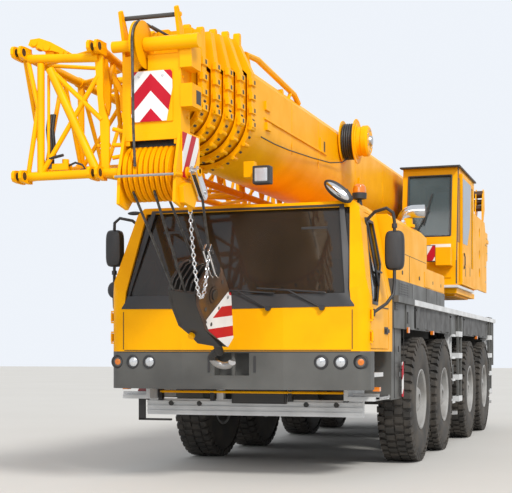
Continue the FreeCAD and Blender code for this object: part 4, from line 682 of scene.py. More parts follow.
over_sheave = []
for place in range(9):
    turn = math.radians(90 - 12.25 * place)
    over_sheave.append(on_boom(ROPE_X, TOP_SHEAVE[0] + 0.176 * math.cos(turn),
                               TOP_SHEAVE[1] + 0.176 * math.sin(turn)))
hoist = Shape()
hoist.tube([on_boom(ROPE_X, 9.3, 0.64), on_boom(ROPE_X, 10.3, 0.64)] + over_sheave
           + [on_boom(-0.09, 10.53, -0.2), on_boom(-0.088, 10.508, -0.5)], ROPE)
hoist.piece("hoist_rope_head", "boom_section_5", [WIRE])
run = Shape()
run.tube([on_boom(ROPE_X, 0.3, 0.62), on_boom(ROPE_X, 5.0, 0.6), on_boom(ROPE_X, 9.28, 0.64)], ROPE)
for forward in (2.0, 5.0, 7.8):
    run.block(on_boom(-0.12, forward + 0.04, 0.555), on_boom(-0.02, forward - 0.04, 0.6), 1)
run.piece("hoist_rope_run", "boom_base", [WIRE, YELLOW])

# Hook block, built straight below the head's shaft and then turned and leaned back
SHEAVE_EDGE = 0.2075
BLOCK_HALF = 0.15
BLOCK_DEEP = 0.23
BLOCK_SHAFT = -1.29
CHEEK = ((-0.06, -1.88), (0.06, -1.88), (BLOCK_DEEP, -1.5), (BLOCK_DEEP, -1.2), (0.19, -1.1), (0.1, -1.05),
         (-0.1, -1.05), (-0.19, -1.1), (-BLOCK_DEEP, -1.2), (-BLOCK_DEEP, -1.5))
block = Shape()
block.slab(CHEEK, "x", (-BLOCK_HALF, -BLOCK_HALF + 0.03))
block.slab(CHEEK, "x", (BLOCK_HALF - 0.03, BLOCK_HALF), 1)
for x in (-0.1, -0.05, 0.0, 0.05, 0.1):
    block.slab([(y * 0.97, BLOCK_SHAFT + (z - BLOCK_SHAFT) * 0.94) for y, z in CHEEK[2:]], "x",
               (x - 0.008, x + 0.008))
block.slab([(-0.23, -1.22), (-0.2, -1.1), (-0.17, -1.1), (-0.2, -1.22), (-0.2, -1.5), (-0.08, -1.84),
            (-0.11, -1.84),
            (-0.23, -1.5)], "x", (-0.12, 0.12))
block.block((-0.14, -0.08, -1.86), (0.14, 0.08, -1.68))
block.bars(((-0.17, 0, BLOCK_SHAFT), (0.17, 0, BLOCK_SHAFT), 0.045, 0, 20),
           ((0.15, 0, BLOCK_SHAFT), (0.158, 0, BLOCK_SHAFT), 0.075, 1, 24))
for y, z in ((-0.12, -1.12), (0.12, -1.12), (0.17, -1.3), (-0.17, -1.3), (-0.17, -1.48), (0.17, -1.48),
             (0.0, -1.45)):
    block.bar((0.149, y, z), (0.156, y, z), 0.02, 2, 8)
block.bar((-0.06, -0.235, -1.62), (-0.06, -0.2, -1.62), 0.03, 3, 12)
for x in (-0.1, 0.1):
    block.turned([(0.11, x - 0.02), (0.165, x - 0.02), (0.185, x - 0.023), (0.165, x), (0.185, x + 0.023),
                  (0.11, x + 0.02)], (0, 0, BLOCK_SHAFT), 2, 40)
BLOCK_TWIST = Matrix.Rotation(BLOCK_TURN, 4, "Z")
block.place(BLOCK_TWIST)
# Places across of each rope fall at the head and at the block, and the side of the sheaves that it leaves
for head_x, block_x, side_at in ((-0.132, -0.1, -1), (0.044, 0.0, -1), (-0.088, -0.06, 1), (0.088, 0.05, 1)):
    block.bar((head_x, SHEAVE_EDGE * side_at, 0.0),
              BLOCK_TWIST @ Vector((block_x, 0.172 * side_at, BLOCK_SHAFT)), ROPE, 4, 8)
block.place(HANG_FRAME)
block.piece("hook_block_body", "hook_block", [BLACK, BROWN, DARK, YELLOW, WIRE], ["hook_block"], bevel=0.004)

marks = Shape()
stripes(marks, clip(CHEEK, (-0.134, -0.991), 1.434), "x", (BLOCK_HALF + 0.001, BLOCK_HALF + 0.004), -41,
        0.092, 0.02)
marks.slab([(-0.215, -1.385), (-0.215, -1.435), (0.2, -1.495), (0.2, -1.445)], "x",
           (BLOCK_HALF + 0.003, BLOCK_HALF + 0.006))
marks.place(HANG_FRAME @ BLOCK_TWIST)
marks.piece("block_stripes", "hook_block", [WHITE, RED])

# The rope's dead end: a fork at the head, a short rope and a fork at the block
socket = Shape()
for x in (0.292, 0.338):
    socket.slab([(-0.04, 0.04), (0.03, 0.04), (0.042, -0.21), (0.02, -0.26), (-0.03, -0.26),
                 (-0.038, -0.21)],
                "x", (x, x + 0.02))
socket.slab([(-0.03, 0.0), (0.025, 0.0), (0.025, -0.21), (-0.025, -0.21)], "x", (0.31, 0.34), 3)
socket.bars(((0.2895, 0, 0.01), (0.37, 0, 0.01), 0.026, 1, 16),
            ((0.2895, 0, -0.2), (0.365, 0, -0.2), 0.018, 1, 12),
            ((0.325, 0.0, -0.2), (0.215, 0.02, -0.83), ROPE, 2, 8))
for x in (0.185, 0.228):
    socket.slab([(-0.045, -0.78), (0.045, -0.78), (0.075, -1.03), (0.04, -1.09), (-0.04, -1.09),
                 (-0.065, -1.03)],
                "x", (x, x + 0.016))
socket.slab([(-0.02, -0.8), (0.02, -0.8), (0.045, -1.0), (-0.04, -1.0)], "x", (0.201, 0.228), 3)
socket.bar((0.175, 0.0, -0.83), (0.255, 0.0, -0.83), 0.022, 3, 12)
socket.place(HANG_FRAME)
socket.piece("rope_dead_end", "hook_block", [CHROME, STEEL, WIRE, BLACK], bevel=0.005)

LINK = 0.046
LINK_WIRE = 0.005


def make_chain(name, path):
    """A chain of open links along a curve, its links turned by quarter turns."""
    curve = bpy.data.curves.new(name + "_path", "CURVE")
    curve.dimensions = "3D"
    spline = curve.splines.new("NURBS")
    spline.points.add(len(path) - 1)
    for point, spot in zip(spline.points, path):
        point.co = (*spot, 1.0)
    spline.use_endpoint_u = True
    spline.order_u = 4
    curve.resolution_u = 24
    line = bpy.data.objects.new(name + "_path", curve)
    points = [vertex.co.copy() for vertex in bpy.data.meshes.new_from_object(line).vertices]
    bpy.data.objects.remove(line)
    shape = Shape()
    travelled = 0.0
    count = 0
    for before, after in zip(points, points[1:]):
        length = (after - before).length
        while count * (LINK - 2.2 * LINK_WIRE) <= travelled + length:
            middle = before.lerp(after, (count * (LINK - 2.2 * LINK_WIRE) - travelled) / length)
            along = (after - before).normalized()
            side, up = across(before, after)
            flat = side if count % 2 else up
            ring = []
            for corner in range(16):
                turn = math.tau * corner / 16
                stretch = (LINK / 2 - LINK_WIRE) * (1.0 if abs(math.cos(turn)) > 0.5 else 0.85)
                ring.append(middle + along * math.cos(turn) * stretch + flat * math.sin(turn) * LINK * 0.3)
            shape.tube(ring, LINK_WIRE, 0, 6, closed=True)
            count += 1
        travelled += length
    thing = shape.piece(name, "", [CHROME])
    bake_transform(thing)
    return thing


make_chain("slack_chain", [Vector(spot) for spot in (
    (0.246, -5.69, 2.33), (0.236, -5.63, 2.1), (0.222, -5.5, 1.78), (0.214, -5.4, 1.63), (0.213, -5.3, 1.63),
    (0.216, -5.24, 1.78), (0.222, -5.2, 2.02))])


# Stowed lattice jib, built on the level boom

# Forward, outer and inner distance to the right, low and high of the chords
JIB_STATIONS = (
    (10.387, 1.1, 0.44, -0.527, 0.457), (9.35, 1.11, 0.575, -0.32, 0.445), (7.9, 1.11, 0.575, -0.24, 0.43),
    (6.45, 1.11, 0.575, -0.235, 0.43), (5.0, 1.11, 0.575, -0.23, 0.43), (3.55, 1.1, 0.59, -0.2, 0.41),
    (2.1, 1.06, 0.64, -0.12, 0.35), (1.25, 1.0, 0.7, -0.04, 0.27))
CHORD = 0.038
LACE = 0.02
THIN_LACE = 0.017


def jib_ring(station):
    """The four chord points at a station of the jib."""
    forward, outer, inner, low, high = station
    return [Vector((-outer, -forward, low)), Vector((-outer, -forward, high)),
            Vector((-inner, -forward, high)), Vector((-inner, -forward, low))]


def jib_between(ahead, behind, share):
    """The four chord points a share of the way from one station to the next."""
    return [start.lerp(end, share) for start, end in zip(jib_ring(ahead), jib_ring(behind))]


jib = Shape()
for corner in range(4):
    for ahead, behind in zip(JIB_STATIONS, JIB_STATIONS[1:]):
        jib.bar(jib_ring(ahead)[corner], jib_ring(behind)[corner], CHORD, 0, 14)
SLEEVE_HALF = Vector((0, 0.05, 0))
for station in JIB_STATIONS[1:]:
    here = jib_ring(station)
    for corner in range(4):
        jib.bar(here[corner], here[(corner + 1) % 4], 0.03, 0, 10)
    jib.bar(here[0], here[2], LACE, 0, 8)
    for point in here:
        jib.bar(point - SLEEVE_HALF, point + SLEEVE_HALF, CHORD + 0.008, 0, 14)
for ahead, behind in zip(JIB_STATIONS, JIB_STATIONS[1:]):
    steps = 3 if ahead[0] > 9 else 4
    for step in range(steps):
        front = jib_between(ahead, behind, step / steps)
        back = jib_between(ahead, behind, (step + 1) / steps)
        for corner in range(4):
            beside = (corner + 1) % 4
            ends = (front[corner], back[beside]) if step % 2 else (front[beside], back[corner])
            jib.bar(*ends, LACE if corner in (0, 2) else THIN_LACE, 0, 8)
EAR = ((0.04, -0.05), (-0.07, -0.05), (-0.128, -0.044), (-0.15, -0.02), (-0.15, 0.02), (-0.128, 0.044),
       (-0.07, 0.05),
       (0.04, 0.05))
for x, y, z in jib_ring(JIB_STATIONS[0]):
    for ear in (-0.045, 0.02):
        jib.slab([(y + along, z + up) for along, up in EAR], "x", (x + ear, x + ear + 0.025))
    for ear in (-0.0455, 0.0195):
        jib.bar((x + ear, y - 0.09, z), (x + ear + 0.026, y - 0.09, z), 0.032, 1, 20)
    jib.bar((x, y + 0.05, z), (x, y - 0.06, z), 0.047, 0, 16)
for forward, outer, inner, low, high in (JIB_STATIONS[2], JIB_STATIONS[6]):
    jib.block((-inner, -forward - 0.05, 0.12), (-BOOM_HALF, -forward + 0.05, 0.24))
    jib.bar((-0.5, -forward, 0.1), (-0.5, -forward, 0.27), 0.03, 1, 10)
boom_piece(jib, "jib_lattice", "boom_base", [YELLOW, BLACK], stands_for=["jib"])

# The jib's front frame and the pegs on the boom head beside it: x and z of each bar's ends, radius and sides
JIB_FRONT = -5.9
JIB_FRONT_BARS = (
    ((-0.948, 3.5), (-0.948, 2.62), 0.03, 12), ((-1.06, 3.52), (-0.972, 3.148), 0.02, 10),
    ((-0.972, 3.148), (-1.06, 2.62), 0.02, 10), ((-1.06, 3.545), (-0.44, 3.51), 0.036, 12),
    ((-0.868, 3.45), (-0.455, 2.61), 0.036, 12), ((-0.448, 3.366), (-0.93, 2.634), 0.02, 10),
    ((-0.832, 3.418), (-0.413, 3.018), 0.02, 10), ((-1.1, 2.6), (-0.26, 2.6), 0.036, 12))
jib_front = Shape()
for start, end, radius, sides in JIB_FRONT_BARS:
    jib_front.bar((start[0], JIB_FRONT, start[1]), (end[0], JIB_FRONT, end[1]), radius, 0, sides)
jib_front.slab([(-0.475, 3.53), (-0.405, 3.53), (-0.4, 3.2), (-0.388, 3.1), (-0.35, 3.0), (-0.35, 2.575),
                (-0.41, 2.575), (-0.43, 3.0), (-0.45, 3.2)], "y", (-5.91, -5.885))
pegs = Shape()
for x, z, end_z in ((-0.34, 2.822, 2.821), (-0.338, 2.95, 2.922), (-0.34, 2.723, 2.735),
                    (-0.34, 2.606, 2.649)):
    pegs.bar((x, -5.86, z), (-0.24, -5.86, end_z), 0.018, 0, 8)
pegs.slab([(-0.39, 3.38), (-0.318, 3.247), (-0.31, 3.105), (-0.23, 3.1), (-0.23, 3.13), (-0.3, 3.3),
           (-0.372, 3.42)],
          "y", (-5.78, -5.75))
pegs.piece("head_jib_pegs", "boom_section_5", [YELLOW], bevel=0.003)
jib_front.bar((-0.465, -5.86, 2.824), (-0.36, -5.86, 2.824), 0.018, 0, 8)
jib_front.slab([(-0.502, 3.548), (-0.43, 3.526), (-0.4, 3.3), (-0.4, 3.15), (-0.415, 3.077),
                (-0.466, 3.241)],
               "y", (-5.78, -5.75))
BRACKET = ((-1.07, 3.66), (-1.05, 3.705), (-0.97, 3.71), (-0.87, 3.672), (-0.745, 3.6), (-0.715, 3.572),
           (-0.74, 3.55),
           (-0.8, 3.58), (-0.86, 3.6), (-0.93, 3.6), (-0.96, 3.62), (-1.0, 3.64), (-1.04, 3.64))
for y in (-5.89, -5.77):
    jib_front.slab(BRACKET, "y", (y, y + 0.022))
for x, z, radius in ((-1.01, 3.67, 0.024), (-0.9, 3.63, 0.03), (-0.77, 3.58, 0.02)):
    jib_front.bar((x, -5.9, z), (x, -5.74, z), radius, 0, 16)
jib_front.slab([(-0.93, 3.62), (-0.84, 3.62), (-0.86, 3.54), (-0.92, 3.54)], "y", (-5.87, -5.78))
# Hand pump with its lever, hoses and standing pipe
jib_front.block((-0.9, -5.88, 2.645), (-0.72, -5.8, 2.7))
jib_front.bars(((-0.76, -5.84, 2.7), (-0.76, -5.84, 2.735), 0.028),
               ((-0.885, -5.86, 2.66), (-0.885, -5.86, 2.74), 0.032, 1),
               ((-0.868, -5.91, 2.735), (-0.744, -5.91, 2.758), 0.012, 1, 8))
jib_front.tube([(-0.72, -5.86, 2.68), (-0.66, -5.87, 2.7), (-0.6, -5.87, 2.68), (-0.58, -5.86, 2.65),
                (-0.62, -5.86, 2.64)], 0.009, 1)
jib_front.bar((-0.895, -5.87, 3.41), (-0.895, -5.87, 2.73), 0.013, 0, 8)
for x in (-0.905, -0.88, -0.858):
    jib_front.tube([(x, -5.84, 3.1), (x - 0.006, -5.86, 2.98), (x + 0.006, -5.86, 2.86), (x, -5.84, 2.76)],
                   0.014, 1)
jib_front.piece("jib_front_frame", "boom_base", [YELLOW, BLACK, STEEL], bevel=0.003)


# Cab: screen border, wipers, seams, windows, mirrors, beacon

def screen_point(x, z, proud=0.004):
    """A point a little in front of the cab's face."""
    return Vector((x, cab_face(x, z) - proud, z))


SCREEN_LOW = 1.735
border = Shape()
outside = []
inside = []
for place in range(25):
    share = place / 24
    x = 1.15 - 2.3 * share
    outside.append((x, 1.6 + 0.012 * abs(x)))
    inside.append((x * 0.925, SCREEN_LOW))
for place in range(1, 24):
    share = place / 24
    outside.append((-1.06 + 2.12 * share, 2.59))
    inside.append((-1.015 + 2.03 * share, 2.566))
front_points = [screen_point(x, z, 0.006) for x, z in outside]
hole_points = [screen_point(x, z, 0.006) for x, z in inside]
deep = [point + Vector((0, 0.02, 0)) for point in front_points]
hole_deep = [point + Vector((0, 0.02, 0)) for point in hole_points]
border.rings([deep, front_points, hole_points, hole_deep], 0, capped=False)
border.piece("screen_border", "carrier", [PLASTIC])

wipers = Shape()
for foot, tip in ((0.36, 0.04), (0.86, 0.53)):
    start = screen_point(foot, 1.6, 0.03)
    end = screen_point(tip, 1.77, 0.045)
    wipers.bars((screen_point(foot, 1.6, 0.0), start + Vector((0, -0.012, 0)), 0.024, 0, 14),
                (start, end, 0.011, 0, 8, 0.007))
    left_end = screen_point(tip + 0.36, 1.74, 0.03)
    right_end = screen_point(tip - 0.3, 1.79, 0.03)
    wipers.tube([left_end, end + Vector((0.05, 0.012, -0.005)), right_end], 0.0095, 0, 6)
wipers.piece("wipers", "carrier", [PLASTIC])

seams = Shape()
for x in (1.13, -1.13):
    seams.tube([screen_point(x, 1.225 + 0.06 * place, 0.0015) for place in range(7)], 0.004, 0, 6)
seams.tube([screen_point(x, 1.215, 0.0015) for x in (-1.12, -0.8, -0.5, 0.0, 0.5, 0.8, 1.12)], 0.004, 0, 6)
seams.piece("cab_seams", "carrier", [BLACK])

WINDOW = ((-3.715, 1.655), (-3.49, 1.655), (-3.055, 2.05), (-3.055, 2.455), (-3.36, 2.455),
          (-3.715, 1.73))


def window_frame(side):
    """The rubber frame, divider and handle of one door window."""
    sign = SIDES[side]
    rim_shape = Shape()
    middle = Vector((sum(point[0] for point in WINDOW), sum(point[1] for point in WINDOW))) / len(WINDOW)
    rings = []
    for grow, proud in ((0.022, -0.012), (0.022, 0.005), (-0.014, 0.005), (-0.014, -0.012)):
        ring = []
        for point in WINDOW:
            spot = Vector(point)
            spot += (spot - middle).normalized() * grow
            ring.append(Vector((sign * (cab_side(spot[1]) + proud), spot[0], spot[1])))
        rings.append(ring)
    rim_shape.rings(rings, 0, capped=False)
    for start, end in (((-3.3, 2.455), (-3.3, 1.83)), ((-3.3, 1.97), (-3.055, 1.97))):
        rim_shape.bar((sign * (cab_side(start[1]) - 0.006), *start),
                      (sign * (cab_side(end[1]) - 0.006), *end), 0.013, 0, 8)
    rim_shape.blocks(((sign * (CAB_HALF - 0.01), -3.17, 1.385), (sign * (CAB_HALF + 0.022), -3.03, 1.42)),
                     ((sign * (CAB_HALF - 0.01), -3.19, 1.37), (sign * (CAB_HALF + 0.003), -3.01, 1.44)))
    for rise in (1.3, 1.5):
        rim_shape.block((sign * (CAB_HALF - 0.006), -3.735, rise),
                        (sign * (CAB_HALF + 0.008), -3.66, rise + 0.08), 1)
    rim_shape.bar((sign * CAB_HALF, -3.45, 1.62), (sign * (CAB_HALF + 0.002), -3.0, 1.62), 0.006, 0, 6)
    rim_shape.piece(f"door_trim_{side}", f"door_{side}", [PLASTIC, YELLOW], bevel=0.003)


MIRROR_OUT = 1.43
CASE_HALF_WIDE = 0.09
CASE_HALF_TALL = 0.185
CASE_POWER = 0.45


def mirror(side):
    """Arm and cases of one mirror set."""
    sign = SIDES[side]
    shape = Shape()
    top_foot = Vector((sign * (cab_side(2.44) + 0.005), -3.4, 2.44))
    low_foot = Vector((sign * (CAB_HALF + 0.004), -3.7, 1.56))
    arm = [Vector((sign * x, y, z)) for x, y, z in (
        (1.24, -3.43, 2.52), (1.36, -3.47, 2.545), (1.42, -3.465, 2.5), (MIRROR_OUT, -3.45, 2.42),
        (MIRROR_OUT, -3.45, 1.85), (1.425, -3.47, 1.74), (1.38, -3.56, 1.65))]
    shape.tube([top_foot, *arm, low_foot], 0.0155, 0, 10)
    for foot in (top_foot, low_foot):
        shape.bar(foot - Vector((sign * 0.01, 0, 0)), foot + Vector((sign * 0.012, 0, 0)), 0.035)
    middle = sign * MIRROR_OUT
    for low in (2.36, 1.98):
        shape.bar((middle, -3.45, low), (middle, -3.45, low + 0.04), 0.026)
    case_middle = 2.2 + (-0.05 if side == "left" else 0.045)
    rings = []
    for y, grow in ((-3.405, -0.012), (-3.409, 0.0), (-3.46, 0.0), (-3.485, -0.016), (-3.495, -0.045)):
        ring = []
        for place in range(28):
            turn = math.tau * place / 28
            cosine = math.cos(turn)
            sine = math.sin(turn)
            ring.append(Vector((
                middle + math.copysign(abs(cosine) ** CASE_POWER, cosine) * (CASE_HALF_WIDE + grow), y,
                case_middle + math.copysign(abs(sine) ** CASE_POWER, sine) * (CASE_HALF_TALL + grow))))
        rings.append(ring)
    shape.rings(rings)
    shape.block((middle - 0.07, -3.409, case_middle - 0.155),
                (middle + 0.07, -3.402, case_middle + 0.155), 1)
    if side == "right":
        shape.ball((middle, -3.45, 1.826), (0.072, 0.04, 0.085))
        shape.block((-1.475, -3.412, 1.78), (-1.385, -3.405, 1.87), 1)
        shape.ball((-1.24, -3.38, 2.6), (0.075, 0.03, 0.02))
    shape.piece(f"mirror_{side}_set", f"door_{side}", [PLASTIC, CHROME], [f"mirror_{side}"])


for side in SIDES:
    window_frame(side)
    mirror(side)

roof = Shape()
BEACON = (1.055, -3.27, CAB_ROOF - 0.012)
roof.turned([(0.004, 0.0), (0.03, 0.0), (0.022, 0.05), (0.05, 0.055), (0.068, 0.06), (0.07, 0.115),
             (0.004, 0.115)], BEACON, 1, 28, "z")
roof.turned([(0.004, 0.11), (0.062, 0.11), (0.064, 0.15), (0.056, 0.18), (0.036, 0.198), (0.004, 0.203)],
            BEACON, 0, 32, "z")
roof.piece("beacon", "carrier", [AMBER, PLASTIC], crease=30)
front_mirror = Shape()
front_mirror.ball((0, 0, 0), (0.165, 0.035, 0.068), 0, 14, 28)
front_mirror.ball((0.0, -0.012, 0.0), (0.14, 0.032, 0.048), 1, 12, 24)
front_mirror.place(Matrix.Translation((0.93, -3.62, 2.7)) @ Matrix.Rotation(math.radians(38), 4, "Y"))
front_mirror.tube([(0.95, -3.6, 2.7), (1.0, -3.56, 2.72), (1.03, -3.5, 2.66), (1.03, -3.46, 2.6)], 0.011)
front_mirror.piece("front_mirror", "carrier", [PLASTIC, CHROME])

visor = Shape()
for x in (-0.7, 0.7):
    visor.block((x - 0.13, -3.62, 2.28), (x + 0.13, -3.56, 2.38))
visor.piece("sun_visors", "carrier", [PLASTIC], bevel=0.01)

# Bumper: lamps, trim, towing jaw, apron and blank plate
lamps = Shape()
LAMP_Z = 1.106
for x, lens_paint in ((1.204, 2), (1.024, 1), (0.846, 1)):
    y = cab_plan(x) + (0.002 if x < 1.1 else 0.02)
    for sign in (1, -1):
        centre = (sign * x, y, LAMP_Z)
        lamps.turned([(0.046, 0.012), (0.046, -0.006), (0.052, -0.012), (0.066, -0.008), (0.069, 0.012)],
                     centre, 0, 32, "y")
        lamps.turned([(0.003, -0.006), (0.025, -0.005), (0.046, 0.002), (0.046, 0.012), (0.003, 0.012)],
                     centre, lens_paint, 28, "y")
lamps.piece("front_lamps", "carrier", [PLASTIC, CLEAR, AMBER])
trim = Shape()
for sign in (1, -1):
    trim.block((sign * 0.215, FACE - 0.006, 1.01), (sign * 0.235, FACE + 0.01, 1.16), 1)
trim.tube([(x, cab_plan(x) - 0.001, 1.2) for x in (-1.2, -1.0, -0.7, -0.5, 0.0, 0.5, 0.7, 1.0, 1.2)],
          0.004, 0, 6)
trim.bar((0.0, FACE + 0.055, 1.19), (0.0, FACE + 0.055, 1.26), 0.018, 2)
trim.tube([(-0.03, FACE + 0.05, 1.24), (-0.02, FACE + 0.05, 1.28), (0.02, FACE + 0.05, 1.28),
           (0.03, FACE + 0.05, 1.24)], 0.008, 2, 8)
trim.piece("bumper_trim", "carrier", [BLACK, PLASTIC, STEEL])

apron = Shape()
apron.block((-0.2, -3.39, 0.695), (0.36, -3.37, 0.855))
apron.bar((-0.95, -3.4, 0.808), (0.95, -3.4, 0.808), 0.013, 1, 10)
for x in (-0.95, -0.4, 0.4, 0.95):
    apron.block((x - 0.02, -3.41, 0.72), (x + 0.02, -3.34, 0.83))
for x in (-0.85, -0.55, 0.55, 0.85):
    apron.bar((x, -3.366, 0.69), (x, -3.351, 0.69), 0.026, 0, 16)
apron.blocks(((-1.2, -3.37, 0.52), (-1.13, -3.34, 0.76)), ((-1.2, -3.37, 0.515), (-0.85, -3.33, 0.535)))
apron.turned([(0.003, -0.02), (0.05, -0.018), (0.055, 0.02), (0.003, 0.02)],
             (-1.148, -3.38, 0.8), 2, 24, "y")
apron.block((-1.2, -3.365, 0.72), (-1.09, -3.33, 0.86))
apron.piece("apron_trim", "carrier", [BLACK, YELLOW, RED_LENS], bevel=0.003)
plate = Shape()
plate.block((-0.18, -3.397, 0.71), (0.34, -3.391, 0.842))
plate.piece("blank_plate", "carrier", [DARK], bevel=0.003)

steps = Shape()
for sign in (1, -1):
    steps.blocks(((sign * 1.05, -3.52, 0.755), (sign * 1.3, -3.0, 0.775)),
                 ((sign * 1.05, -3.52, 0.755), (sign * 1.3, -3.5, 0.81)))
    for place in range(9):
        steps.block((sign * 1.07, -3.48 + 0.055 * place, 0.775),
                    (sign * 1.29, -3.465 + 0.055 * place, 0.785), 1)
    steps.block((sign * 1.24, -3.53, 0.83), (sign * 1.305, -3.46, 0.87), 2)
steps.piece("cab_step_tread", "carrier", [STEEL, DARK, AMBER], bevel=0.002)

# Carrier sides: curtains, ladders, markers, boxes and the hood's grey band

RAIL_LOW = 1.7
CURTAIN_OUT = 1.303
CURTAIN_DROP = 0.245
CURTAIN_THICK = 0.006


def curtain(name, sign, front, rear, phase):
    """A wavy curtain hanging under the rail."""
    shape = Shape()
    count = 90
    rings = []
    for depth in (0.0, CURTAIN_THICK):
        for level in range(7):
            drop = level / 6 if depth == 0.0 else 1 - level / 6
            ring = []
            for place in range(count + 1):
                share = place / count
                y = front + (rear - front) * share
                wave = math.sin(share * 37 + phase) * 0.55 + math.sin(share * 23 + phase * 2.1) * 0.45
                x = CURTAIN_OUT + wave * 0.011 * (0.35 + 0.65 * drop) - depth
                z = RAIL_LOW - CURTAIN_DROP * drop + 0.006 * math.sin(share * 31 + phase) * drop
                ring.append(Vector((sign * x, y, z)))
            rings.append(ring)
    points = [point for ring in rings for point in ring]
    width = count + 1
    loops = []
    for row in range(len(rings)):
        after = (row + 1) % len(rings)
        for place in range(count):
            loops.append((row * width + place, row * width + place + 1, after * width + place + 1,
                          after * width + place))
    shape.faces(points, loops)
    shape.piece(name, "carrier", [RUBBER], crease=80)


for side, sign in SIDES.items():
    curtain(f"curtain_front_{side}", sign, -1.64, 0.95, 0.4)
    curtain(f"curtain_rear_{side}", sign, 2.1, 4.76, 1.9)

sides = Shape()
for front, rear in ((1.5, 1.78), (5.02, 5.26)):
    for y in (front, rear):
        sides.blocks(((1.296, y - 0.016, 0.54), (1.324, y + 0.016, RAIL_LOW), 2),
                     ((1.15, y - 0.012, 0.54), (1.172, y + 0.012, RAIL_LOW), 2))
    for rung in range(4):
        z = 0.55 + 0.288 * rung
        sides.block((1.17, front - 0.02, z), (1.332, rear + 0.01, z + 0.07))
        for hole in range(4):
            y = front + (rear - front) * (hole + 1) / 5
            sides.bar((1.25, y, z + 0.07), (1.25, y, z + 0.0765), 0.014, 1, 8)
sides.block((1.283, -2.74, 1.62), (1.3, -2.6, DECK_TOP), 1)
for place in range(4):
    sides.block((1.299, -2.73, 1.637 + 0.022 * place), (1.304, -2.61, 1.646 + 0.022 * place), 2)
sides.blocks(((1.287, -2.16, 1.44), (1.302, -1.7, 1.7), 2),
             ((1.286, -2.764, 1.697), (1.338, -1.86, 1.763), 2), ((1.287, 0.96, 1.44), (1.3, 1.04, 1.7), 2),
             ((1.287, 2.0, 1.44), (1.3, 2.09, 1.7), 2), ((1.301, -2.12, 1.5), (1.31, -2.06, 1.62), 1))
for z in (1.51, 1.55, 1.59):
    sides.block((1.309, -2.11, z), (1.312, -2.07, z + 0.02), 3)
sides.blocks(((1.3, -2.13, 1.4), (1.318, -2.05, 1.46), 4), ((1.283, 5.64, 1.0), (1.3, 5.75, DECK_TOP), 2))
for y in (-0.55, 3.45):
    sides.block((1.29, y - 0.035, 1.405), (1.325, y + 0.035, 1.45), 4)
for y in (-1.6, 0.9, 2.15, 4.7):
    sides.bar((1.29, y, 1.66), (1.316, y, 1.66), 0.012, 3, 8)
sides.twin()
sides.piece("side_fittings", "carrier", [PALE, DARK, GREY, BLACK, AMBER], bevel=0.003)

strips = Shape()
stripes(strips, [(-2.3, 0.74), (-2.22, 0.74), (-2.22, 1.1), (-2.3, 1.1)],
        "x", (1.281, 1.286), 35, 0.12, 0.03)
strips.twin()
strips.piece("side_warning_strips", "carrier", [WHITE, RED])

box_lines = Shape()
for y in (-2.69, -2.2):
    box_lines.tube([(1.2805, y, 0.74), (1.2805, y, 1.44)], 0.004, 0, 6)
box_lines.tube([(1.2805, -2.69, 1.09), (1.2805, -2.2, 1.09)], 0.004, 0, 6)
box_lines.blocks(((1.279, -2.5, 1.2), (1.288, -2.42, 1.26)), ((1.279, -2.5, 0.95), (1.288, -2.42, 1.0)))
box_lines.twin()
box_lines.piece("side_box_lines", "carrier", [BLACK], bevel=0.002)

BAND_LOW = 1.735
BAND_HIGH = 1.935
BAND_OUT = 1.2885
band = Shape()
for sign in (1, -1):
    band.block((sign * 1.284, -2.745, BAND_LOW), (sign * BAND_OUT, 0.503, BAND_HIGH))
band.blocks(((-BAND_OUT, -2.745, BAND_LOW), (BAND_OUT, -2.741, BAND_HIGH)),
            ((-BAND_OUT, 0.5, BAND_LOW), (BAND_OUT, 0.504, BAND_HIGH)))
for sign in (1, -1):
    band.block((sign * 1.288, -2.5, 1.75), (sign * 1.2925, -1.95, 1.92))
    for column in range(6):
        for row in range(6):
            y = -2.47 + 0.083 * column
            z = 1.765 + 0.025 * row
            band.block((sign * 1.2915, y, z), (sign * 1.2945, y + 0.07, z + 0.014), 1)
    for y in (-1.75, -0.85, -0.1):
        band.tube([(sign * 1.2886, y, 1.74), (sign * 1.2886, y, 1.93)], 0.0035, 1, 6)
band.piece("hood_band", "carrier", [GREY, BLACK], bevel=0.002)

hatches = Shape()
for sign in (1, -1):
    hatches.block((sign * 1.284, -0.96, 1.945), (sign * 1.29, 0.44, 2.115))
    hatches.tube([(sign * 1.2855, -2.7, 2.22), (sign * 1.2855, -0.84, 2.22)], 0.003, 1, 6)
    hatches.tube([(sign * 1.2855, -1.9, 1.94), (sign * 1.2855, -1.9, 2.22)], 0.003, 1, 6)
    for y in (-2.3, -1.3, -0.4, 0.2):
        hatches.bar((sign * 1.284, y, 2.02), (sign * 1.292, y, 2.02), 0.022, 1, 14)
for x in (-0.8, 0.8):
    hatches.block((x - 0.35, -2.5, 2.578), (x + 0.35, -1.7, 2.586))
hatches.piece("hood_hatches", "carrier", [YELLOW, BLACK], bevel=0.004)

front_box = Shape()
front_box.blocks(((1.06, 1.2, 2.35), (1.26, 1.42, 2.59)), ((1.0, 1.24, 2.38), (1.07, 1.42, 2.44)),
                 ((0.945, 1.205, 2.4), (1.06, 1.215, 2.62), 1))
front_box.piece("opcab_front_box", "turntable", [YELLOW, DARK], bevel=0.006)
flag = Shape()
stripes(flag, [(0.95, 2.41), (1.055, 2.41), (1.055, 2.61), (0.95, 2.61)], "y", (1.198, 1.204), 60, 0.1, 0.02)
flag.piece("opcab_front_marker", "turntable", [WHITE, RED])

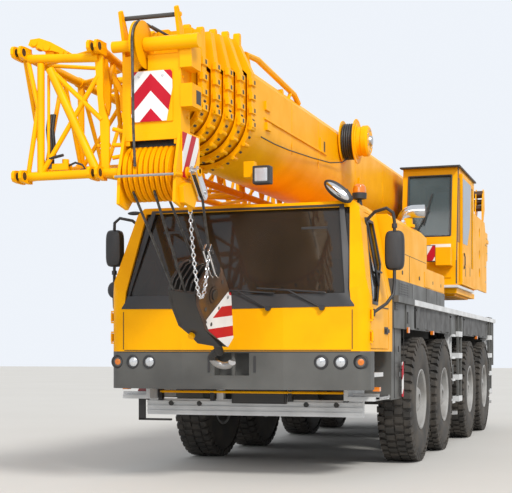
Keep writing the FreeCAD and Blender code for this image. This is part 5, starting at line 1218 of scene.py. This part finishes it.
PIPE = (1.13, -1.45)
exhaust = Shape()
bend = []
for place in range(9):
    turn = math.radians(90 * place / 8)
    bend.append(Vector((PIPE[0] + 0.13 * (1 - math.cos(turn)), PIPE[1], 2.63 + 0.12 * math.sin(turn))))
exhaust.tube([Vector((*PIPE, 2.5)), *bend, Vector((1.37, -1.43, 2.752))], 0.07, 0, 24)
exhaust.turned([(0.0, 0.0), (0.058, 0.0), (0.058, 0.004), (0.0, 0.004)], (1.3705, -1.43, 2.752), 1, 24, "x")
for place, radius in ((0, 0.082), (1, 0.078)):
    exhaust.turned([(0.064, 0.0), (radius, 0.0), (radius, 0.018), (0.064, 0.018)],
                   (*PIPE, 2.6 + 0.03 * place), 0, 28, "z")
exhaust.piece("exhaust_elbow", "carrier", [CHROME, BROWN])

# Deck treads, tail boxes, tail lamps and striped tail plates
tail = Shape()
for x in (-0.95, 0.95):
    tail.blocks(((x - 0.2, 0.62, DECK_TOP), (x + 0.2, 1.15, 1.745), 1),
                ((x - 0.22, 4.75, DECK_TOP), (x + 0.22, 5.3, 1.745), 1))
    for place in range(6):
        tail.block((x - 0.18, 0.65 + 0.085 * place, 1.745), (x + 0.18, 0.68 + 0.085 * place, 1.75))
for x in (-1.2, 1.2):
    tail.block((x - 0.08, 5.3, DECK_TOP), (x + 0.08, 5.74, 1.79))
for sign in (1, -1):
    tail.block((sign * 0.6, 5.755, 1.12), (sign * 1.2, 5.785, 1.26), 1)
    for place in range(3):
        centre = (sign * (0.72 + 0.18 * place), 5.785, 1.19)
        tail.turned([(0.003, 0.0), (0.055, 0.0), (0.05, 0.014), (0.003, 0.016)],
                    centre, 2 if place else 3, 24, "y")
tail.piece("deck_treads_and_tail_lamps", "carrier", [GREY, DARK, RED_LENS, AMBER], bevel=0.003)
tail_marks = Shape()
for sign in (1, -1):
    outline = [(sign * 0.55, 1.4), (sign * 1.25, 1.4), (sign * 1.25, 1.54), (sign * 0.55, 1.54)]
    if sign < 0:
        outline.reverse()
    stripes(tail_marks, outline, "y", (5.761, 5.766), 50 * sign, 0.13, 0.0)
tail_marks.piece("tail_warning_plates", "carrier", [WHITE, RED])

# Operator cab: roof plate, seals, window frames, wiper, handles, step and a blank label
opcab = Shape()
opcab.blocks(((0.535, 1.565, 3.7), (1.33, 3.27, 3.722)), ((0.535, 1.47, 3.688), (1.33, 1.57, 3.706)),
             ((1.285, 1.45, 2.16), (1.303, 1.475, 2.44)))
opcab.bars(((1.3, 1.435, 2.42), (1.3, 1.6, 3.69), 0.012, 0, 8),
           ((1.3, 1.43, 2.12), (1.3, 1.43, 2.43), 0.012, 0, 8))
for x in (0.64, 1.22):
    opcab.bar((x, 1.453, 2.76), (x, 1.568, 3.585), 0.011, 0, 8)
opcab.bars(((0.64, 1.453, 2.76), (1.22, 1.453, 2.76), 0.011, 0, 8),
           ((0.64, 1.567, 3.585), (1.22, 1.567, 3.585), 0.011, 0, 8))
opcab.slab([(1.405, 2.2), (1.405, 2.43), (1.449, 2.76), (1.47, 2.76), (1.43, 2.43), (1.43, 2.2)], "x",
           (0.62, 1.24), 1)
opcab.bars(((0.75, 1.455, 2.8), (0.93, 1.5, 3.12), 0.008, 0, 8),
           ((0.86, 1.47, 2.92), (0.97, 1.525, 3.34), 0.009, 0, 6))
opcab.block((0.7, 1.4, 2.16), (0.8, 1.425, 2.2))
# Front side window: an opaque bluish sheet carrying a painted reflection.
opcab.slab([(1.5, 2.7), (1.5, 2.69), (1.745, 2.69), (1.745, 3.56), (1.6, 3.56), (1.47, 2.74)], "x",
           (1.3005, 1.3035), 2)
opcab.piece("opcab_seals", "turntable", [PLASTIC, YELLOW, WINDOW_REFLECTION_SHEET], bevel=0.003)
slots = Shape()
slots.blocks(((1.34, 2.02, 2.25), (1.3435, 2.05, 2.38)), ((1.34, 2.48, 2.28), (1.3435, 2.51, 2.4)))
slots.bars(((1.343, 1.86, 2.35), (1.355, 1.86, 2.35), 0.01, 0, 8),
           ((1.343, 1.86, 2.55), (1.355, 1.86, 2.55), 0.01, 0, 8))
slots.tube([(1.35, 1.86, 2.35), (1.36, 1.86, 2.4), (1.36, 1.86, 2.5), (1.35, 1.86, 2.55)], 0.008)
slots.block((1.327, 1.825, 2.41), (1.342, 2.575, 2.69), 1)
slots.slab([(2.2, 2.69), (2.575, 2.69), (2.575, 3.56), (2.45, 2.97)], "x", (1.327, 1.342), 1)
# Door window: an opaque bluish sheet carrying a painted reflection, laid outside the door glass.
slots.slab([(1.77, 2.68), (2.21, 2.69), (2.46, 2.96), (2.585, 3.52), (2.585, 3.57), (1.77, 3.57)], "x",
           (1.3415, 1.3435), 2)
slots.piece("opcab_door_handles", "opcab_door", [PLASTIC, YELLOW, WINDOW_REFLECTION_SHEET])
opcab_step = Shape()
opcab_step.blocks(((0.6, 1.3, 2.062), (1.34, 1.45, 2.095)), ((1.3, 1.4, 2.062), (1.345, 2.9, 2.095)),
                  ((0.56, 1.4, 1.99), (1.31, 3.2, 2.06), 2))
for place in range(12):
    opcab_step.block((1.305, 1.42 + 0.12 * place, 2.095), (1.34, 1.48 + 0.12 * place, 2.099), 1)
opcab_step.piece("opcab_step", "turntable", [PALE, DARK, YELLOW], bevel=0.004)
cab_labels = Shape()
cab_labels.slab([(1.4227, 2.585), (1.4313, 2.65), (1.438, 2.65), (1.43, 2.585)], "x", (0.96, 1.23), 0)
cab_labels.piece("opcab_blank_label", "turntable", [WHITE])

# Side frame: pins and the small rope frame behind the operator cab
upper = Shape()
upper.block((1.12, 5.2, 3.0), (1.25, 5.48, 3.06))
upper.bar((1.19, 5.44, 3.03), (1.19, 5.5, 3.03), 0.05, 0, 16)
for x in (0.98, 1.09, 1.2):
    upper.slab([(4.95, 3.3), (5.05, 3.3), (5.25, 3.55), (5.2, 3.84), (5.08, 3.86), (4.95, 3.62)], "x",
               (x, x + 0.016))
for y, z, radius in ((5.1, 3.78, 0.06), (5.04, 3.55, 0.05), (5.14, 3.66, 0.045)):
    upper.bar((0.99, y, z), (1.21, y, z), radius, 1, 20)
upper.block((0.98, 4.93, 3.28), (1.23, 5.06, 3.31))
for z in (3.2, 2.95, 2.6, 2.35):
    upper.bar((1.249, 3.45, z), (1.256, 3.45, z), 0.016, 2, 8)
    z = min(z, 2.95)
    upper.bar((1.249, 5.05, z), (1.256, 5.05, z), 0.016, 2, 8)
for z in (3.07, 2.73, 2.45):
    upper.bar((1.195, 4.29, z), (1.205, 4.29, z), 0.085, 3, 20)
upper.piece("side_frame_fittings", "turntable", [YELLOW, BROWN, STEEL, PALE], bevel=0.003)

ballast = Shape()
for sign in (1, -1):
    for z in (2.86, 2.98, 3.1):
        ballast.blocks(((sign * 1.197, 5.49, z), (sign * 1.203, 5.74, z + 0.006), 1),
                       ((sign * 0.5, 5.476, z), (sign * 1.19, 5.482, z + 0.006), 1),
                       ((sign * 0.5, 6.147, z), (sign * 0.8, 6.153, z + 0.006), 1))
    ballast.tube([(sign * 0.95, 5.6, 3.2), (sign * 0.95, 5.6, 3.26), (sign * 0.95, 5.72, 3.26),
                  (sign * 0.95, 5.72, 3.2)], 0.018, 0, 8)
ballast.piece("counterweight_lines", "turntable", [YELLOW, BLACK])
tank = Shape()
tank.turned([(0.003, 0.0), (0.06, 0.0), (0.06, 0.03), (0.05, 0.04), (0.003, 0.04)],
            (-0.85, 2.8, 2.76), 1, 20, "z")
for y in (2.9, 3.5, 4.1):
    tank.blocks(((-1.158, y - 0.03, 2.3), (-1.149, y + 0.03, 2.76), 1),
                ((-1.155, y - 0.03, 2.759), (-0.5, y + 0.03, 2.766), 1))
tank.piece("oil_tank_straps", "turntable", [YELLOW, DARK], bevel=0.002)


# Light, floor and background

def lamp_panel(name, place, aim, size, watts, colour):
    """A soft rectangular lamp."""
    data = bpy.data.lights.new(name, "AREA")
    data.shape = "RECTANGLE"
    data.size = size[0]
    data.size_y = size[1]
    data.energy = watts
    data.color = colour
    thing = bpy.data.objects.new(name, data)
    thing.location = place
    thing.rotation_euler = (Vector(aim) - Vector(place)).to_track_quat("-Z", "Y").to_euler()
    bpy.context.scene.collection.objects.link(thing)


sun_data = bpy.data.lights.new("soft_sun", "SUN")
sun_data.energy = 2.6
sun_data.angle = math.radians(12)
sun_data.color = (1.0, 0.97, 0.92)
sun = bpy.data.objects.new("soft_sun", sun_data)
sun.rotation_euler = Vector((-0.55, 0.62, -0.72)).to_track_quat("-Z", "Y").to_euler()
bpy.context.scene.collection.objects.link(sun)
lamp_panel("front_panel", (1.0, -17.0, 7.5), (0.0, -4.0, 1.8), (12.0, 6.0), 620.0, (1.0, 1.0, 1.0))

sky = bpy.data.worlds.new("pale_sky")
bpy.context.scene.world = sky
sky.use_nodes = True
tree = sky.node_tree
tree.nodes.clear()
output = tree.nodes.new("ShaderNodeOutputWorld")
blend = tree.nodes.new("ShaderNodeMixShader")
rays = tree.nodes.new("ShaderNodeLightPath")
lighting = tree.nodes.new("ShaderNodeBackground")
lighting.inputs["Color"].default_value = (0.96, 0.98, 1.0, 1.0)
lighting.inputs["Strength"].default_value = 0.7
seen = tree.nodes.new("ShaderNodeBackground")
seen.inputs["Color"].default_value = (0.86, 0.9, 0.96, 1.0)
seen.inputs["Strength"].default_value = 1.0
either = tree.nodes.new("ShaderNodeMath")
either.operation = "MAXIMUM"
tree.links.new(rays.outputs["Is Camera Ray"], either.inputs[0])
tree.links.new(rays.outputs["Is Transmission Ray"], either.inputs[1])
any_ray = tree.nodes.new("ShaderNodeMath")
any_ray.operation = "MAXIMUM"
tree.links.new(either.outputs["Value"], any_ray.inputs[0])
tree.links.new(rays.outputs["Is Glossy Ray"], any_ray.inputs[1])
tree.links.new(any_ray.outputs["Value"], blend.inputs["Fac"])
tree.links.new(lighting.outputs["Background"], blend.inputs[1])
tree.links.new(seen.outputs["Background"], blend.inputs[2])
tree.links.new(blend.outputs["Shader"], output.inputs["Surface"])

ground = surface("pale floor", (0.58, 0.57, 0.55), (0.565, 0.555, 0.535), (0.8, 0.9), scale=0.3, grain=40.0,
                 bump=0.01)
floor_data = bpy.data.meshes.new("floor")
floor_data.from_pydata([(-70, -70, 0), (70, -70, 0), (70, 90, 0), (-70, 90, 0)], [], [(0, 1, 2, 3)])
floor_data.materials.append(ground)
floor = bpy.data.objects.new("floor", floor_data)
bpy.context.scene.collection.objects.link(floor)
